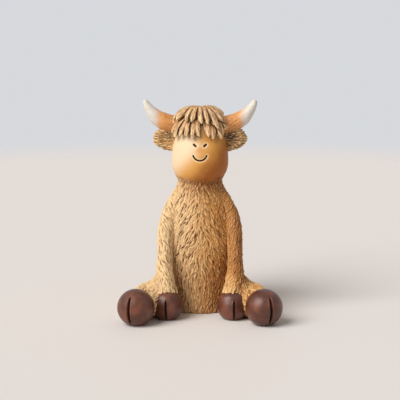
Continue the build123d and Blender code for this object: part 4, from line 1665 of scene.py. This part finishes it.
@dataclass
class Studio:
    """Pale floor and backdrop, one soft window light from the left, and the camera."""

    floor_radius: float = 0.9
    floor_fade: Span = (0.46, 0.62)
    floor: Colour = (234, 233, 235)
    backdrop: Colour = (215, 217, 221)
    ambient: Colour = (255, 240, 226)
    ambient_strength: float = 0.31
    key: Colour = (255, 250, 242)
    key_azimuth: float = 52.0
    key_elevation: float = 42.0
    key_spread: float = 44.0
    key_power: float = 2.95
    target: Tuple[float, float, float] = (0.0, 0.0, 51.26 * MM)
    distance: float = 0.7
    elevation: float = 10.0
    lens: float = 131.94
    sensor: float = 36.0

    def lay_floor(self) -> None:
        """A round floor that fades into the backdrop at its far edge."""
        bpy.ops.object.select_all(action="DESELECT")
        bpy.ops.mesh.primitive_circle_add(vertices=96, radius=self.floor_radius, fill_type="NGON")
        floor = bpy.context.active_object
        floor.name = "floor"
        paint = bpy.data.materials.new("floor_paint")
        paint.use_nodes = True
        nodes, links = paint.node_tree.nodes, paint.node_tree.links
        shader = nodes["Principled BSDF"]
        shader.inputs["Base Color"].default_value = linear(self.floor)
        shader.inputs["Roughness"].default_value = 0.7
        place = nodes.new("ShaderNodeTexCoord")
        reach = nodes.new("ShaderNodeVectorMath")
        reach.operation = "LENGTH"
        fade = nodes.new("ShaderNodeMapRange")
        fade.interpolation_type = "SMOOTHSTEP"
        fade.inputs[1].default_value, fade.inputs[2].default_value = self.floor_fade
        clear = nodes.new("ShaderNodeBsdfTransparent")
        mix = nodes.new("ShaderNodeMixShader")
        links.new(place.outputs["Object"], reach.inputs[0])
        links.new(reach.outputs["Value"], fade.inputs[0])
        links.new(fade.outputs[0], mix.inputs[0])
        links.new(shader.outputs[0], mix.inputs[1])
        links.new(clear.outputs[0], mix.inputs[2])
        links.new(mix.outputs[0], nodes["Material Output"].inputs["Surface"])
        floor.data.materials.append(paint)

    def hang_backdrop(self) -> None:
        """A pale world behind the floor, and even light from all round."""
        world = bpy.data.worlds.new("backdrop")
        bpy.context.scene.world = world
        world.use_nodes = True
        nodes, links = world.node_tree.nodes, world.node_tree.links
        light = nodes["Background"]
        light.inputs["Color"].default_value = linear(self.ambient)
        light.inputs["Strength"].default_value = self.ambient_strength
        seen = nodes.new("ShaderNodeBackground")
        seen.inputs["Color"].default_value = linear(self.backdrop)
        ray = nodes.new("ShaderNodeLightPath")
        shown = ray.outputs["Is Camera Ray"]
        for kind in ("Is Glossy Ray", "Is Transmission Ray"):
            either = nodes.new("ShaderNodeMath")
            either.operation = "MAXIMUM"
            links.new(shown, either.inputs[0])
            links.new(ray.outputs[kind], either.inputs[1])
            shown = either.outputs[0]
        mix = nodes.new("ShaderNodeMixShader")
        links.new(shown, mix.inputs[0])
        links.new(light.outputs[0], mix.inputs[1])
        links.new(seen.outputs[0], mix.inputs[2])
        links.new(mix.outputs[0], nodes["World Output"].inputs["Surface"])

    def light(self) -> None:
        """A soft window to the left of the camera."""
        lamp = bpy.data.lights.new("window", "SUN")
        lamp.angle = math.radians(self.key_spread)
        lamp.energy = self.key_power
        lamp.color = linear(self.key)[:3]
        window = bpy.data.objects.new("window", lamp)
        bpy.context.scene.collection.objects.link(window)
        window.rotation_euler = (math.radians(90.0 - self.key_elevation), 0.0, -math.radians(self.key_azimuth))

    def aim_camera(self) -> None:
        """The camera at the photograph's height, distance and lens."""
        data = bpy.data.cameras.new("camera")
        data.lens, data.sensor_width = self.lens, self.sensor
        camera = bpy.data.objects.new("camera", data)
        bpy.context.scene.collection.objects.link(camera)
        lift = math.radians(self.elevation)
        away = Vector((0.0, -math.cos(lift), math.sin(lift))) * self.distance
        camera.location = Vector(self.target) + away
        camera.rotation_mode = "QUATERNION"
        camera.rotation_quaternion = (-away).to_track_quat("-Z", "Y")
        bpy.context.scene.camera = camera

    def build(self) -> None:
        """The whole studio."""
        self.lay_floor()
        self.hang_backdrop()
        self.light()
        self.aim_camera()
        bpy.context.scene.view_settings.view_transform = "Standard"


def main() -> None:
    """Builds, paints and places every piece."""
    logging.basicConfig(level=logging.INFO, format="%(message)s")
    Studio().build()
    head = HeadPlace()
    coat = FurCoat(head).build()
    rows = Fringe(head).build()
    face = Face(head)
    face.engrave(coat["head"])
    face.shade_under_hair(coat["head"], list(rows.values()))
    coat_paint, hair_paint = CoatPaint().material("coat_paint"), HairPaint().material("hair_paint")
    for node, piece in coat.items():
        if node == "head":
            put_on(piece, FacePaint().material("face_paint"), "face", node)
        else:
            put_on(piece, coat_paint, "coat", node)
    for node, piece in rows.items():
        put_on(piece, hair_paint, "hair", node)
    put_on(TailTuft().build(), hair_paint, "hair", "tail_tuft")
    ears, horns, hooves = Ears(head), Horns(head), Hooves()
    ear_paint, horn_paint = EarPaint().material("ear_paint"), HornPaint().material("horn_paint")
    hoof_paint = HoofPaint().material("hoof_paint")
    for side in Side:
        put_on(ears.build(side), ear_paint, "ear", f"ear_{side.word}")
        put_on(horns.build(side), horn_paint, "horn", f"horn_{side.word}")
        for pair in ("forehoof", "hindhoof"):
            put_on(hooves.build(pair, side), hoof_paint, "hoof", f"{pair}_{side.word}")


if __name__ == "__main__":
    main()
